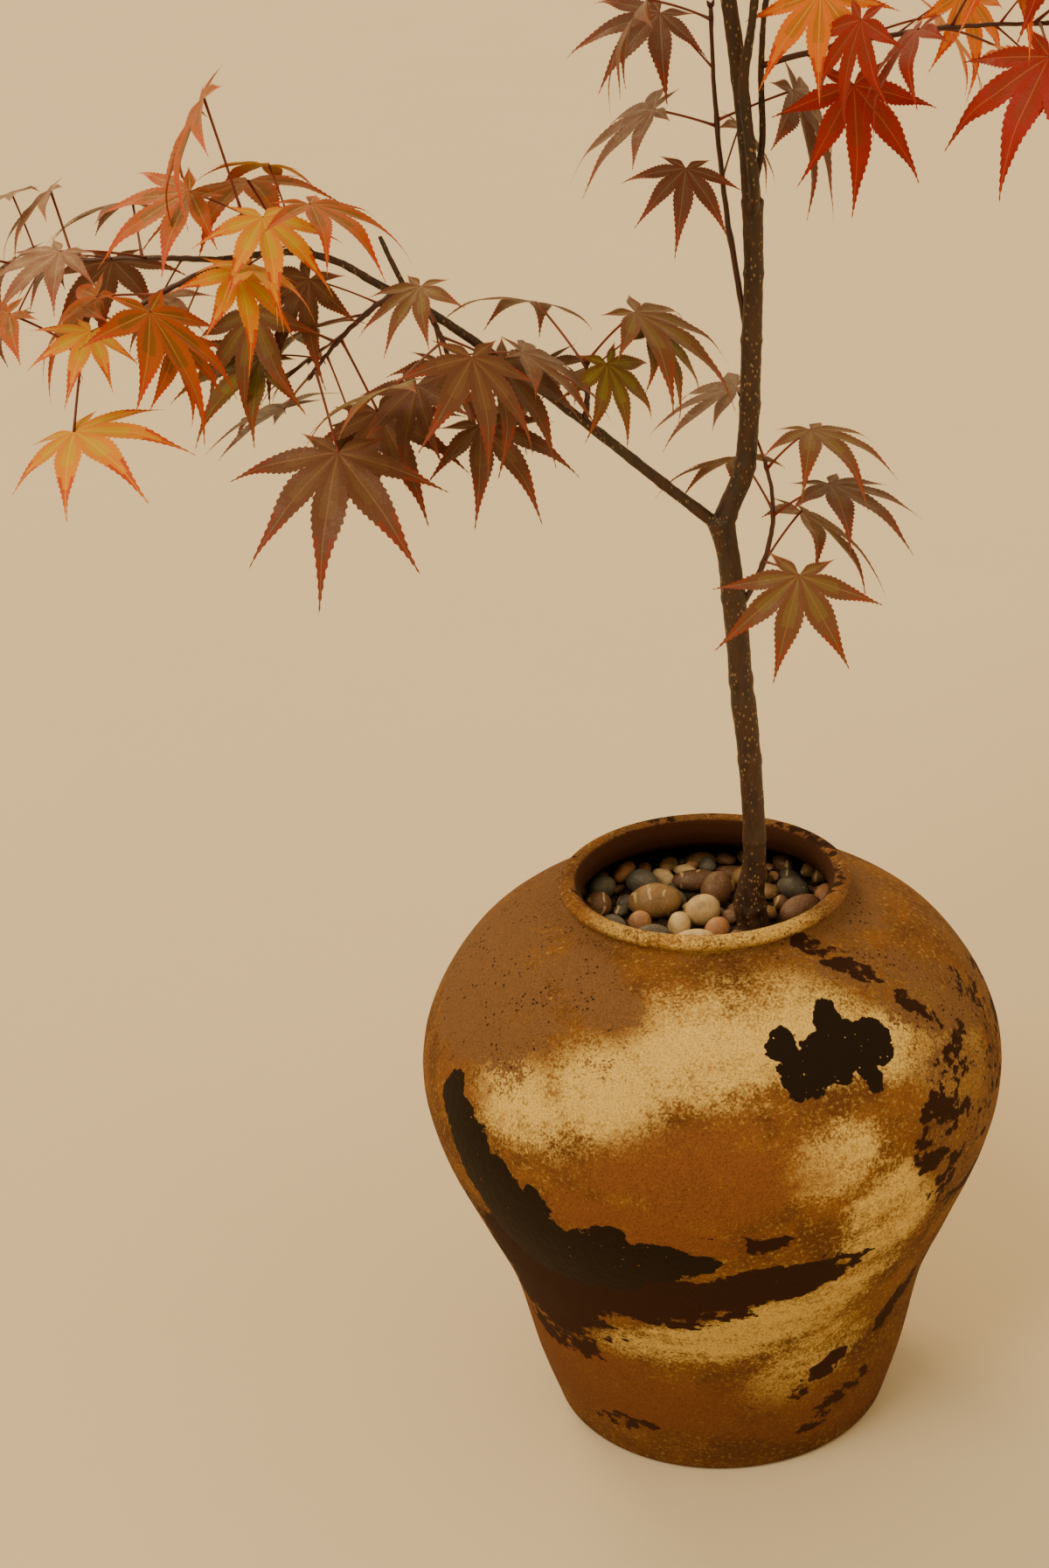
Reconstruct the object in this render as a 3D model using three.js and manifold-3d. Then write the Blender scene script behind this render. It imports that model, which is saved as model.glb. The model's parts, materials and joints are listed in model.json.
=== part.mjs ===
// A young Japanese maple growing in a round-shouldered stoneware jar.
// Millimetres, +Z up. The origin is the centre of the jar's flat underside,
// +X is to the right and -Y is towards the viewer.
// Parts: the jar, its soil, the pebbles on the soil, the trunk, the leader, the boughs
// and the sprays of leaves. Neighbouring parts lie 0.3 mm clear of each other.

import * as THREE from "three";
import { mergeVertices } from "three/addons/utils/BufferGeometryUtils.js";
import Module from "manifold-3d";

const wasm = await Module();
wasm.setup();

// Clearance between touching parts, how far a cut or join may be simplified, and the grid
// that its corners are rounded to
const CLEAR = 0.3;
const SIMPLIFY = 0.12;
const GRID = 0.006;

// Jar: [radius, height] up the outside, from the foot to the foot of the neck
const JAR_OUTSIDE = [
  [89.4, 3], [99.7, 37], [110.9, 85], [128.6, 128], [144.2, 167],
  [150, 201], [143.7, 231], [124.4, 262], [101.6, 280], [82, 288.5],
];
// The neck, the rolled lip and the throat, in the same way, from the outside to the inside
const JAR_LIP = [
  [72.5, 292], [70.5, 296], [73.4, 298.6], [74.2, 301], [72.2, 303.6], [69.2, 304.4],
  [65, 302.2], [62.5, 296.5], [64, 290.5],
];
const JAR_WALL = 8;
const JAR_FLOOR = 14;
const FLOOR_CORNER = 4;
const FOOT_CHAMFER = 3;
const JAR_SEGMENTS = 32;
const JAR_COURSES = 10;

// Soil and pebbles
const SOIL_LEVEL = 268;
const SOIL_COURSE = 3;
const SOIL_INSET = 2;
const PEBBLE_FIELD = 84;
const PEBBLE_KNOBBLE = 0.05;
const PEBBLE_SEED = 100;
const PEBBLE_ROUNDS = 300;

// Pebbles seen from the front: [right, back, length, width, height, turn in degrees]
const PEBBLES = [
  [-26, 23, 29, 20, 19, 5], [-56, 24, 17, 15, 15, 60], [-47, 3, 17, 11, 12, -30],
  [-34, 7, 13, 11, 12, 20], [-28, -11, 20, 13, 13, 10], [-13, 1, 15, 12, 14, 80],
  [-2, 12, 20, 15, 17, 20], [-5, -17, 23, 14, 13, 5], [6, 33, 22, 15, 20, 60],
  [8, -5, 15, 12, 13, 40], [-33, 50, 19, 14, 14, -20], [-4, 52, 27, 12, 12, 0],
  [49, 13, 27, 15, 15, 35], [57, -6, 15, 11, 11, -20], [-54, 46, 17, 13, 13, 30],
  [24, 52, 21, 15, 14, 15], [46, 39, 20, 14, 13, -35], [38, -18, 22, 15, 14, 10],
  [17, -27, 20, 14, 14, -25], [-29, -31, 22, 16, 14, 20], [-52, -20, 20, 14, 13, 50],
  [-5, -41, 21, 15, 13, 0], [26, -45, 20, 14, 13, 30], [63, 30, 18, 13, 12, 70],
];

// Trunk and limbs: [right, back, height, diameter] along the middle of each
const TRUNK = [
  [24, 0, SOIL_LEVEL + CLEAR, 22], [24, 0, 274, 17.5], [22.6, 0, 289, 15.5],
  [25, 0, 305, 12.6], [25.8, 0, 322, 11.4], [24.3, 0, 370, 11.6], [22.2, 0, 397, 12.8],
  [21.6, 0, 404, 11.6], [19.4, 0, 444, 12], [16.3, 0, 478, 11], [13.5, 0, 492, 14],
];
const LEADER_LOWER = [
  [14.5, 0, 489, 10.5], [19, 0, 501, 10.5], [25, 0, 515, 10.4], [28.4, 0, 541, 9.8],
  [30.1, 0, 574, 9.9], [32.1, 0, 608, 9], [32.4, 0, 645, 10],
];
const LEADER_UPPER = [
  [32.3, 0, 641, 9], [30, 2, 676, 7.8], [26.7, 3, 711, 7.6], [21, 5, 760, 7.2],
  [15, 7, 830, 6.4], [17, 4, 910, 5.4], [21, 0, 990, 4.2], [18, -3, 1060, 3],
];
const LEFT_BOUGH_INNER = [
  [15, 0, 487, 6], [-10, -4, 510, 5.6], [-52, -12, 550, 4.8], [-100, -22, 593, 4.4],
  [-124, -26, 612, 4.2],
];
const LEFT_BOUGH_OUTER = [
  [-122.6, -25.7, 610.9, 4], [-140, -29, 622, 3.8], [-155, -30, 632, 3.6],
  [-173, -32, 638, 3.4], [-212, -35, 637, 3],
];
const DEAD_STUB = [
  [-124, -26, 612, 3.4], [-131, -23, 627, 2.8], [-137, -20, 641, 2.2],
];
const FRONT_STEM = [
  [32.4, 0, 636, 5], [33, -10, 652, 5], [31, -11, 677, 4.8], [29.5, -11.5, 700, 5],
  [33, -14, 722, 4], [39, -24, 760, 3.8], [58, -52, 815, 3.2], [84, -82, 862, 2.6],
];
const RIGHT_STEM = [
  [32.4, 0, 648, 3.6], [37.5, 8, 668, 3.4], [38, 10, 703, 3], [43, 14, 740, 2.8],
  [66, 22, 790, 2.6], [104, 30, 830, 2.2],
];

// Boughs above: they leave the leader in turn round it, each shorter than the last
const HIGH_BOUGHS = 6;
const HIGH_FIRST_HEIGHT = 752;
const HIGH_LAST_HEIGHT = 1000;
const HIGH_FIRST_REACH = 165;
const HIGH_LAST_REACH = 95;
const HIGH_FIRST_TURN = 100;
const TURN_BETWEEN_BOUGHS = 137.5;
const HIGH_RISE = 0.95;
const HIGH_BEND = 0.3;
const HIGH_BOUGH_ROOT = 4.2;
const HIGH_BOUGH_TIP = 2.2;

// Leaves: seven lobes, [degrees from the middle lobe, share of its length]
const LOBES = [[-122, 0.36], [-77, 0.74], [-37, 0.94], [0, 1], [37, 0.94], [77, 0.74], [122, 0.36]];
const NOTCH = 0.35;
const LEAF_THICKNESS = 0.022;
const LEAF_CURL = 0.2;
const LEAF_BACK = 0.06;
const PETIOLE_HALF_WIDTH = 0.9;
const PETIOLE_DEPTH = 1.44;

// What a leaf is dealt, each as [least, spread]: its petiole and size in leaf lengths, its
// swing, droop and lean in radians, the angle at which it leaves its twig and its share
// of the twig's own way
const PETIOLE_DEAL = [0.4, 0.5];
const SIZE_DEAL = [0.7, 0.42];
const SWING_DEAL = [-1, 2];
const DROOP_DEAL = [0.05, 1.1];
const LEAN_DEAL = [-0.35, 0.7];
const LEVEL_ANGLE_DEAL = [-0.35, 0.9];
const UPRIGHT_ANGLE_DEAL = [0.5, 0.9];
const FORWARD_DEAL = [0.2, 0.7];
const LEAF_TRIES = 14;
const SEEDS_PER_SPRAY = 64;
const LAST_NODE = 0.97;

// Leaves turn their faces towards the light, by this share of their way
const LIGHT = new THREE.Vector3(-0.3, -1, 0).normalize();
const LIGHT_SHARE = 0.75;

// Twigs are three-sided, these radii at the root and the tip
const STEM_THICK = 1.6;
const TWIG_THICK = 1.2;
const STEM_THIN = 0.85;
const ROOT_OFFSET = 1.3;
const STEM_STEPS = 5;
const TWIG_STEPS = 2;
const TWIG_BOW = 6;
const TWIG_PAIRS = 2;

// What a side twig is dealt in the same way: its share of the stem's way and its rise, and
// its length as a share of the stem's, shorter at each node
const TWIG_FORWARD_DEAL = [0.55, 0.3];
const TWIG_RISE_DEAL = [-0.245, 0.7];
const TWIG_LENGTH = 0.75;
const TWIG_SHORTER = 0.12;

// Least distances that leaves keep from limbs, from their own spray and from other sprays
const LIMB_ROOM = 4;
const SPRAY_ROOM = 5.5;
const NEXT_SPRAY_ROOM = 10;
const TWIG_ROOM = 3;
const PETIOLE_LIMB_ROOM = 2;
const PETIOLE_TWIG_ROOM = 4;

// A leaf's middle, in leaf lengths from its palm, the ball round it that holds the leaf,
// and how far beyond the ball the search for neighbours goes
const LEAF_MIDDLE = 0.3;
const LEAF_BALL = 1.4;
const SEARCH_MARGIN = 20;

// How far a leaf's tips may reach from its spray's stem, in leaf lengths
const SPRAY_REACH = 2;

// Sprays: the limb that each grows from, the share of its length where it leaves, how far
// its stem reaches and bows [right, back, up], its leaf pairs, how many of its first nodes
// are bare or bear side twigs, the length of its leaves and the seed of its rule
const SPRAYS = [
  { name: "spray_front", limb: "left_bough_inner", at: 0.93, reach: [15, -34, -26],
    bow: [0, 0, 8], pairs: 2, bare: 0, twigs: 0, leaf: 66, seed: 35290 },
  { name: "spray_bright", limb: "left_bough_outer", at: 0.65, reach: [-28, -19, 23],
    bow: [0, 0, 6], pairs: 2, bare: 0, twigs: 0, leaf: 64, seed: 62697 },
  { name: "spray_inner", limb: "left_bough_inner", at: 0.48, reach: [2, 3, 27],
    bow: [2, 0, 4], pairs: 2, bare: 0, twigs: 0, leaf: 57, seed: 30954 },
  { name: "spray_hanging", limb: "left_bough_outer", at: 0.12, reach: [-40, -13, -33],
    bow: [0, 0, 8], pairs: 3, bare: 0, twigs: 0, leaf: 70, seed: 22905 },
  { name: "spray_lower_left", limb: "left_bough_outer", at: 0.9, reach: [-78, -25, -34],
    bow: [0, 0, 10], pairs: 2, bare: 0, twigs: 0, leaf: 62, seed: 16645 },
  { name: "spray_left_tip", limb: "left_bough_outer", at: 1, reach: [-100, 23, -4],
    bow: [0, 0, 4], pairs: 3, bare: 0, twigs: 0, leaf: 60, seed: 87467 },
  { name: "spray_low_right", limb: "trunk", at: 0.8, reach: [16, -4, 78],
    bow: [20, 0, 0], pairs: 3, bare: 0, twigs: 0, leaf: 62, seed: 4938 },
  { name: "spray_left_shoot", limb: "leader_lower", at: 0.667, reach: [-14, 12, 156],
    bow: [-8, 6, 0], pairs: 3, bare: 1, twigs: 0, leaf: 62, seed: 55735 },
  { name: "spray_upper_right", limb: "right_stem", at: 0.4, reach: [121, -45, 20],
    bow: [0, 0, 10], pairs: 3, bare: 0, twigs: 0, leaf: 68, seed: 32680 },
  { name: "spray_front_stem", limb: "front_stem", at: 1, reach: [56, -56, 50],
    bow: [0, 0, 10], pairs: 3, bare: 0, twigs: 2, leaf: 60, seed: 20 },
  { name: "spray_right_stem", limb: "right_stem", at: 1, reach: [80, 20, 40],
    bow: [0, 0, 10], pairs: 3, bare: 0, twigs: 2, leaf: 60, seed: 21 },
  { name: "spray_top", limb: "leader_upper", at: 1, reach: [-6, 6, 84],
    bow: [0, 0, 0], pairs: 4, bare: 0, twigs: 2, leaf: 54, seed: 22 },
];
const HIGH_SPRAY = { at: 1, bow: [0, 0, 10], pairs: 3, bare: 0, twigs: 2, leaf: 64 };
const HIGH_SPRAY_REACH = 84;
const HIGH_SPRAY_RISE = 0.35;
const HIGH_SPRAY_SEED = 40;

const UP = new THREE.Vector3(0, 0, 1);
const plant = new THREE.Group();

// A seeded dice: the same numbers from 0 to 1 in the same order every time
function dice(seed) {
  let state = (seed * 48271 + 11) % 2147483647;
  return () => {
    state = (state * 16807) % 2147483647;
    return state / 2147483647;
  };
}

function dealt([least, spread], roll) {
  return least + spread * roll();
}

function welded(geometry) {
  geometry.deleteAttribute("normal");
  geometry.deleteAttribute("uv");
  return mergeVertices(geometry, 1e-4);
}

function solidOf(geometry) {
  const vertProperties = new Float32Array(geometry.attributes.position.array);
  const triVerts = new Uint32Array(geometry.index.array);
  return new wasm.Manifold(new wasm.Mesh({ numProp: 3, vertProperties, triVerts }));
}

// The largest closed piece of a solid, simplified, as a geometry
function geometryOf(solid) {
  const pieces = solid.simplify(SIMPLIFY).decompose();
  pieces.sort((a, b) => b.volume() - a.volume());
  const mesh = pieces[0].getMesh();
  const corners = mesh.vertProperties.map((value) => Math.round(value / GRID) * GRID);
  const geometry = new THREE.BufferGeometry();
  geometry.setAttribute("position", new THREE.BufferAttribute(corners, 3));
  geometry.setIndex(new THREE.BufferAttribute(mesh.triVerts, 1));
  return geometry;
}

function place(name, geometry, material) {
  geometry.computeVertexNormals();
  const mesh = new THREE.Mesh(geometry, material);
  mesh.name = name;
  plant.add(mesh);
}

// Materials
function finish(color, roughness) {
  return new THREE.MeshStandardMaterial({ color, roughness, metalness: 0 });
}
const glaze = () => finish(0x9a6a34, 0.55);
const soilFinish = () => finish(0x2c2018, 0.95);
const barkFinish = () => finish(0x3d2c22, 0.75);
const leafFinish = (color) => finish(color, 0.6);
const STONE_COLOURS = [0xb39a78, 0x7a5a44, 0x5d6166, 0xc9a184, 0xd8c9a8, 0xa56a3c];
const LEAF_COLOURS = [0x5b3230, 0x6b3a2c, 0x4f3a2a, 0x8a4a24];

// A profile of [radius, height] turned about the upright axis
function turned(profile, segments) {
  const points = profile.map(([radius, height]) => new THREE.Vector2(radius, height));
  const geometry = new THREE.LatheGeometry(points, segments);
  geometry.rotateX(Math.PI / 2);
  return welded(geometry);
}

// The jar's outside as a smooth curve of radius and height
const jarCurve = new THREE.SplineCurve(
  JAR_OUTSIDE.map(([radius, height]) => new THREE.Vector2(radius, height)),
);

// The jar's inside, a wall's thickness in from the outside, from its floor to the throat
function jarInside(inset) {
  const inside = [];
  for (let i = 0; i <= JAR_COURSES; i += 1) {
    const share = i / JAR_COURSES;
    const point = jarCurve.getPoint(share);
    const along = jarCurve.getTangent(share);
    const radius = point.x - along.y * (JAR_WALL + inset);
    const height = point.y + along.x * (JAR_WALL + inset);
    if (height > JAR_FLOOR + inset + FLOOR_CORNER) {
      inside.push([radius, height]);
    }
  }
  const [radius] = inside[0];
  inside.unshift([radius - FLOOR_CORNER, JAR_FLOOR + inset]);
  return inside;
}

function makeJar() {
  const outside = jarCurve.getPoints(JAR_COURSES).map((point) => [point.x, point.y]);
  const foot = JAR_OUTSIDE[0][0];
  const profile = [
    [0, 0], [foot - FOOT_CHAMFER, 0], ...outside, ...JAR_LIP,
    ...jarInside(0).reverse(), [0, JAR_FLOOR],
  ];
  place("jar", turned(profile, JAR_SEGMENTS), glaze());
}

// Radius of the jar's inside at a height, for what fills it
function insideRadius(height, inset) {
  const inside = jarInside(inset);
  for (let i = 1; i < inside.length; i += 1) {
    const [r0, h0] = inside[i - 1];
    const [r1, h1] = inside[i];
    if (height >= h0 && height <= h1) {
      return r0 + ((r1 - r0) * (height - h0)) / (h1 - h0);
    }
  }
  return inside[0][0];
}

function makeSoil() {
  const side = jarInside(SOIL_INSET).filter(([, height], i) => {
    return height < SOIL_LEVEL - SOIL_COURSE && i % 2 === 0;
  });
  const profile = [
    [0, JAR_FLOOR + CLEAR], ...side, [insideRadius(SOIL_LEVEL, SOIL_INSET), SOIL_LEVEL],
    [0, SOIL_LEVEL],
  ];
  place("soil", turned(profile, JAR_SEGMENTS), soilFinish());
}

// Half of a pebble's width in a direction across the soil
function halfWidth(pebble, direction) {
  const across = direction - pebble.turn;
  return Math.hypot((pebble.length / 2) * Math.cos(across), (pebble.width / 2) * Math.sin(across));
}

// Pebbles are eased apart until none crosses another, the trunk or the jar's wall
function settledPebbles() {
  const pebbles = PEBBLES.map(([x, y, length, width, height, degrees]) => {
    return { x, y, length, width, height, turn: THREE.MathUtils.degToRad(degrees) };
  });
  const foot = { x: TRUNK[0][0], y: TRUNK[0][1], length: TRUNK[0][3], width: TRUNK[0][3], turn: 0 };
  for (let round = 0; round < PEBBLE_ROUNDS; round += 1) {
    for (const one of pebbles) {
      for (const other of [foot, ...pebbles]) {
        if (other === one) {
          continue;
        }
        const direction = Math.atan2(one.y - other.y, one.x - other.x);
        const apart = Math.hypot(one.y - other.y, one.x - other.x);
        const need = halfWidth(one, direction) + halfWidth(other, direction) + 2 * CLEAR;
        const share = other === foot ? 1 : 0.5;
        const push = Math.max(0, need - apart) * share;
        one.x += push * Math.cos(direction);
        one.y += push * Math.sin(direction);
        if (other !== foot) {
          other.x -= push * Math.cos(direction);
          other.y -= push * Math.sin(direction);
        }
      }
      const out = Math.atan2(one.y, one.x);
      const limit = PEBBLE_FIELD - halfWidth(one, out);
      const reach = Math.hypot(one.x, one.y);
      if (reach > limit) {
        one.x *= limit / reach;
        one.y *= limit / reach;
      }
    }
  }
  return pebbles;
}

function makePebbles() {
  settledPebbles().forEach((pebble, index) => {
    const roll = dice(PEBBLE_SEED + index);
    const geometry = welded(new THREE.IcosahedronGeometry(1, 1));
    const position = geometry.attributes.position;
    for (let i = 0; i < position.count; i += 1) {
      const knobble = 1 - PEBBLE_KNOBBLE * roll();
      position.setXYZ(
        i,
        (position.getX(i) * knobble * pebble.length) / 2,
        (position.getY(i) * knobble * pebble.width) / 2,
        (position.getZ(i) * knobble * pebble.height) / 2,
      );
    }
    geometry.rotateZ(pebble.turn);
    geometry.computeBoundingBox();
    geometry.translate(pebble.x, pebble.y, SOIL_LEVEL + CLEAR - geometry.boundingBox.min.z);
    const name = `pebble_${String(index + 1).padStart(2, "0")}`;
    place(name, geometry, finish(STONE_COLOURS[index % STONE_COLOURS.length], 0.6));
  });
}

// A limb is a smooth path with a diameter at each of its stations
function limbFrom(name, stations, sides, rings) {
  const points = stations.map(([x, y, z]) => new THREE.Vector3(x, y, z));
  const curve = new THREE.CatmullRomCurve3(points, false, "centripetal");
  const path = [];
  const radii = [];
  for (let i = 0; i <= rings; i += 1) {
    const share = i / rings;
    const at = share * (stations.length - 1);
    const k = Math.min(Math.floor(at), stations.length - 2);
    const blend = at - k;
    path.push(curve.getPoint(share));
    radii.push((stations[k][3] * (1 - blend) + stations[k + 1][3] * blend) / 2);
  }
  return { name, path, radii, sides };
}

// A closed tube of flat faces along a path, with a flat cut at each end. The section is
// turned as little as possible from ring to ring. The first cut faces firstWay if given.
function tube(path, radii, sides, firstWay) {
  const vertices = [];
  const faces = [];
  const ways = path.map((point, i) => {
    const before = path[Math.max(i - 1, 0)];
    const after = path[Math.min(i + 1, path.length - 1)];
    return after.clone().sub(before).normalize();
  });
  if (firstWay) {
    ways[0] = firstWay.clone();
  }
  const across = new THREE.Vector3(1, 0, 0);
  if (Math.abs(ways[0].x) > 0.8) {
    across.set(0, 1, 0);
  }
  path.forEach((point, i) => {
    across.addScaledVector(ways[i], -across.dot(ways[i])).normalize();
    const third = ways[i].clone().cross(across);
    for (let side = 0; side < sides; side += 1) {
      const angle = (2 * Math.PI * side) / sides;
      const corner = point.clone();
      corner.addScaledVector(across, radii[i] * Math.cos(angle));
      corner.addScaledVector(third, radii[i] * Math.sin(angle));
      vertices.push(corner.x, corner.y, corner.z);
    }
  });
  const last = (path.length - 1) * sides;
  for (let i = 0; i < last; i += sides) {
    for (let side = 0; side < sides; side += 1) {
      const a = i + side;
      const b = i + ((side + 1) % sides);
      faces.push(a, b, b + sides, a, b + sides, a + sides);
    }
  }
  for (let side = 1; side < sides - 1; side += 1) {
    faces.push(0, side + 1, side);
    faces.push(last, last + side, last + side + 1);
  }
  const geometry = new THREE.BufferGeometry();
  geometry.setAttribute("position", new THREE.Float32BufferAttribute(vertices, 3));
  geometry.setIndex(faces);
  return geometry;
}

// The limbs by name, for what joins them and what keeps clear of them
const limbs = {};

// A limb's solid, grown by the clearance, that seats what joins it
function seatOf(limb) {
  const path = limb.path.map((point) => point.clone());
  const end = path.length - 1;
  const way = path[end].clone().sub(path[end - 1]).normalize();
  path[end].addScaledVector(way, CLEAR);
  const start = path[0].clone().sub(path[1]).normalize();
  path[0].addScaledVector(start, CLEAR);
  return solidOf(tube(path, limb.radii.map((radius) => radius + CLEAR), limb.sides));
}

function makeLimb(name, stations, sides, rings, parents = [], firstWay = undefined) {
  const limb = limbFrom(name, stations, sides, rings);
  limbs[name] = limb;
  let geometry = tube(limb.path, limb.radii, sides, firstWay);
  if (parents.length > 0) {
    let solid = solidOf(geometry);
    for (const parent of parents) {
      solid = solid.subtract(seatOf(limbs[parent]));
    }
    geometry = geometryOf(solid);
  }
  place(name, geometry, barkFinish());
}

function makeLimbs() {
  makeLimb("trunk", TRUNK, 10, 18, [], UP);
  makeLimb("leader_lower", LEADER_LOWER, 10, 12, ["trunk"]);
  makeLimb("leader_upper", LEADER_UPPER, 8, 14, ["leader_lower"]);
  makeLimb("left_bough_inner", LEFT_BOUGH_INNER, 8, 8, ["trunk", "leader_lower"]);
  makeLimb("left_bough_outer", LEFT_BOUGH_OUTER, 6, 8, ["left_bough_inner"]);
  makeLimb("dead_stub", DEAD_STUB, 5, 3, ["left_bough_inner", "left_bough_outer"]);
  makeLimb("front_stem", FRONT_STEM, 6, 14, ["leader_lower", "leader_upper"]);
  makeLimb("right_stem", RIGHT_STEM, 6, 10, ["leader_upper", "leader_lower"]);
}

// Where a height falls on the leader's upper part
function leaderAt(height) {
  const { path } = limbs.leader_upper;
  const i = path.findIndex((point) => point.z > height);
  const share = (height - path[i - 1].z) / (path[i].z - path[i - 1].z);
  return path[i - 1].clone().lerp(path[i], share);
}

function makeHighBoughs() {
  for (let i = 0; i < HIGH_BOUGHS; i += 1) {
    const share = i / (HIGH_BOUGHS - 1);
    const height = HIGH_FIRST_HEIGHT + (HIGH_LAST_HEIGHT - HIGH_FIRST_HEIGHT) * share;
    const reach = HIGH_FIRST_REACH + (HIGH_LAST_REACH - HIGH_FIRST_REACH) * share;
    const turn = THREE.MathUtils.degToRad(HIGH_FIRST_TURN + TURN_BETWEEN_BOUGHS * i);
    const root = leaderAt(height);
    const stations = [0, 0.33, 0.66, 1].map((along) => {
      const out = reach * along;
      const rise = HIGH_RISE * reach * (along - HIGH_BEND * along * along);
      const diameter = HIGH_BOUGH_ROOT + (HIGH_BOUGH_TIP - HIGH_BOUGH_ROOT) * along;
      return [root.x + out * Math.cos(turn), root.y + out * Math.sin(turn), root.z + rise, diameter];
    });
    makeLimb(`high_bough_${i + 1}`, stations, 6, 5, ["leader_upper"]);
    const way = new THREE.Vector3(Math.cos(turn), Math.sin(turn), HIGH_SPRAY_RISE).normalize();
    const stemReach = way.multiplyScalar(HIGH_SPRAY_REACH).toArray();
    SPRAYS.push({
      ...HIGH_SPRAY,
      name: `spray_high_${i + 1}`,
      limb: `high_bough_${i + 1}`,
      reach: stemReach,
      seed: HIGH_SPRAY_SEED + i,
    });
  }
}

// Shortest distance between the stretches a-b and c-d
function distanceBetween(a, b, c, d) {
  const u = b.clone().sub(a);
  const v = d.clone().sub(c);
  const w = a.clone().sub(c);
  const uu = u.dot(u);
  const uv = u.dot(v);
  const vv = v.dot(v);
  const uw = u.dot(w);
  const vw = v.dot(w);
  const spread = uu * vv - uv * uv;
  const clamp = THREE.MathUtils.clamp;
  let s = spread > 1e-9 ? clamp((uv * vw - vv * uw) / spread, 0, 1) : 0;
  const t = clamp((uv * s + vw) / Math.max(vv, 1e-9), 0, 1);
  s = clamp((uv * t - uw) / Math.max(uu, 1e-9), 0, 1);
  return a.clone().addScaledVector(u, s).distanceTo(c.clone().addScaledVector(v, t));
}

// A leaf's frame: the palm where its lobes meet, the way of the middle lobe, its face's
// normal and its side
function leafFrame(root, out, roll, length) {
  const petiole = length * dealt(PETIOLE_DEAL, roll);
  const swing = dealt(SWING_DEAL, roll);
  const droop = dealt(DROOP_DEAL, roll);
  const lean = dealt(LEAN_DEAL, roll);
  const size = length * dealt(SIZE_DEAL, roll);
  const palm = root.clone().addScaledVector(out, petiole);
  const level = new THREE.Vector3(out.x, out.y, 0).normalize();
  level.addScaledVector(LIGHT, LIGHT_SHARE).normalize().applyAxisAngle(UP, swing);
  const way = level.multiplyScalar(Math.cos(droop)).addScaledVector(UP, -Math.sin(droop));
  const normal = UP.clone().addScaledVector(way, -UP.dot(way)).normalize();
  normal.applyAxisAngle(way, lean);
  const side = way.clone().cross(normal);
  return { root, palm, way, normal, side, size };
}

// A point of a leaf, at an angle from its middle lobe and a share of its length
function leafPoint(leaf, degrees, share) {
  const angle = THREE.MathUtils.degToRad(degrees);
  return leaf.palm
    .clone()
    .addScaledVector(leaf.way, leaf.size * share * Math.cos(angle))
    .addScaledVector(leaf.side, leaf.size * share * Math.sin(angle))
    .addScaledVector(leaf.normal, -leaf.size * LEAF_CURL * share * share);
}

// A leaf and its petiole as one closed solid: two fans of faces that meet at the lobes'
// edges, open at the back where the three-sided petiole joins them
function leafSolid(leaf) {
  const ring = [];
  const back = leaf.palm.clone().addScaledVector(leaf.way, -LEAF_BACK * leaf.size);
  const toRoot = leaf.root.clone().sub(back).normalize();
  const raised = leaf.normal.clone().addScaledVector(toRoot, -leaf.normal.dot(toRoot)).normalize();
  ring.push(back.clone().addScaledVector(leaf.side, -PETIOLE_HALF_WIDTH));
  LOBES.forEach(([degrees, share], i) => {
    ring.push(leafPoint(leaf, degrees, share));
    if (i < LOBES.length - 1) {
      const [nextDegrees, nextShare] = LOBES[i + 1];
      const notch = NOTCH * Math.sqrt(share * nextShare);
      ring.push(leafPoint(leaf, (degrees + nextDegrees) / 2, notch));
    }
  });
  ring.push(back.clone().addScaledVector(leaf.side, PETIOLE_HALF_WIDTH));
  const first = 0;
  const last = ring.length - 1;
  const half = (LEAF_THICKNESS * leaf.size) / 2;
  const points = [
    ...ring,
    leaf.palm.clone().addScaledVector(leaf.normal, half),
    leaf.palm.clone().addScaledVector(leaf.normal, -half),
    back.clone().addScaledVector(raised, PETIOLE_DEPTH),
  ];
  const top = last + 1;
  const under = last + 2;
  const ridge = last + 3;
  const shift = leaf.root.clone().sub(back);
  for (const corner of [first, last, ridge]) {
    points.push(points[corner].clone().add(shift));
  }
  const [firstEnd, lastEnd, ridgeEnd] = [last + 4, last + 5, last + 6];
  const faces = [top, ridge, last, top, first, ridge, under, last, first];
  for (let i = 0; i < last; i += 1) {
    faces.push(top, i + 1, i, under, i, i + 1);
  }
  const sides = [
    [first, last, lastEnd, firstEnd],
    [last, ridge, ridgeEnd, lastEnd],
    [ridge, first, firstEnd, ridgeEnd],
  ];
  for (const [a, b, bEnd, aEnd] of sides) {
    faces.push(a, b, bEnd, a, bEnd, aEnd);
  }
  faces.push(firstEnd, lastEnd, ridgeEnd);
  const geometry = new THREE.BufferGeometry();
  const vertices = points.flatMap((point) => point.toArray());
  geometry.setAttribute("position", new THREE.Float32BufferAttribute(vertices, 3));
  geometry.setIndex(faces);
  return solidOf(geometry);
}

// A twig bows aside between its root and its tip
function twigPath(root, reach, bow, steps) {
  const tip = root.clone().add(reach);
  const middle = root.clone().addScaledVector(reach, 0.5).add(bow);
  const curve = new THREE.QuadraticBezierCurve3(root, middle, tip);
  return curve.getPoints(steps);
}

function pathAt(path, share) {
  const at = share * (path.length - 1);
  const k = Math.min(Math.floor(at), path.length - 2);
  const point = path[k].clone().lerp(path[k + 1], at - k);
  const way = path[k + 1].clone().sub(path[k]).normalize();
  return { point, way };
}

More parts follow.
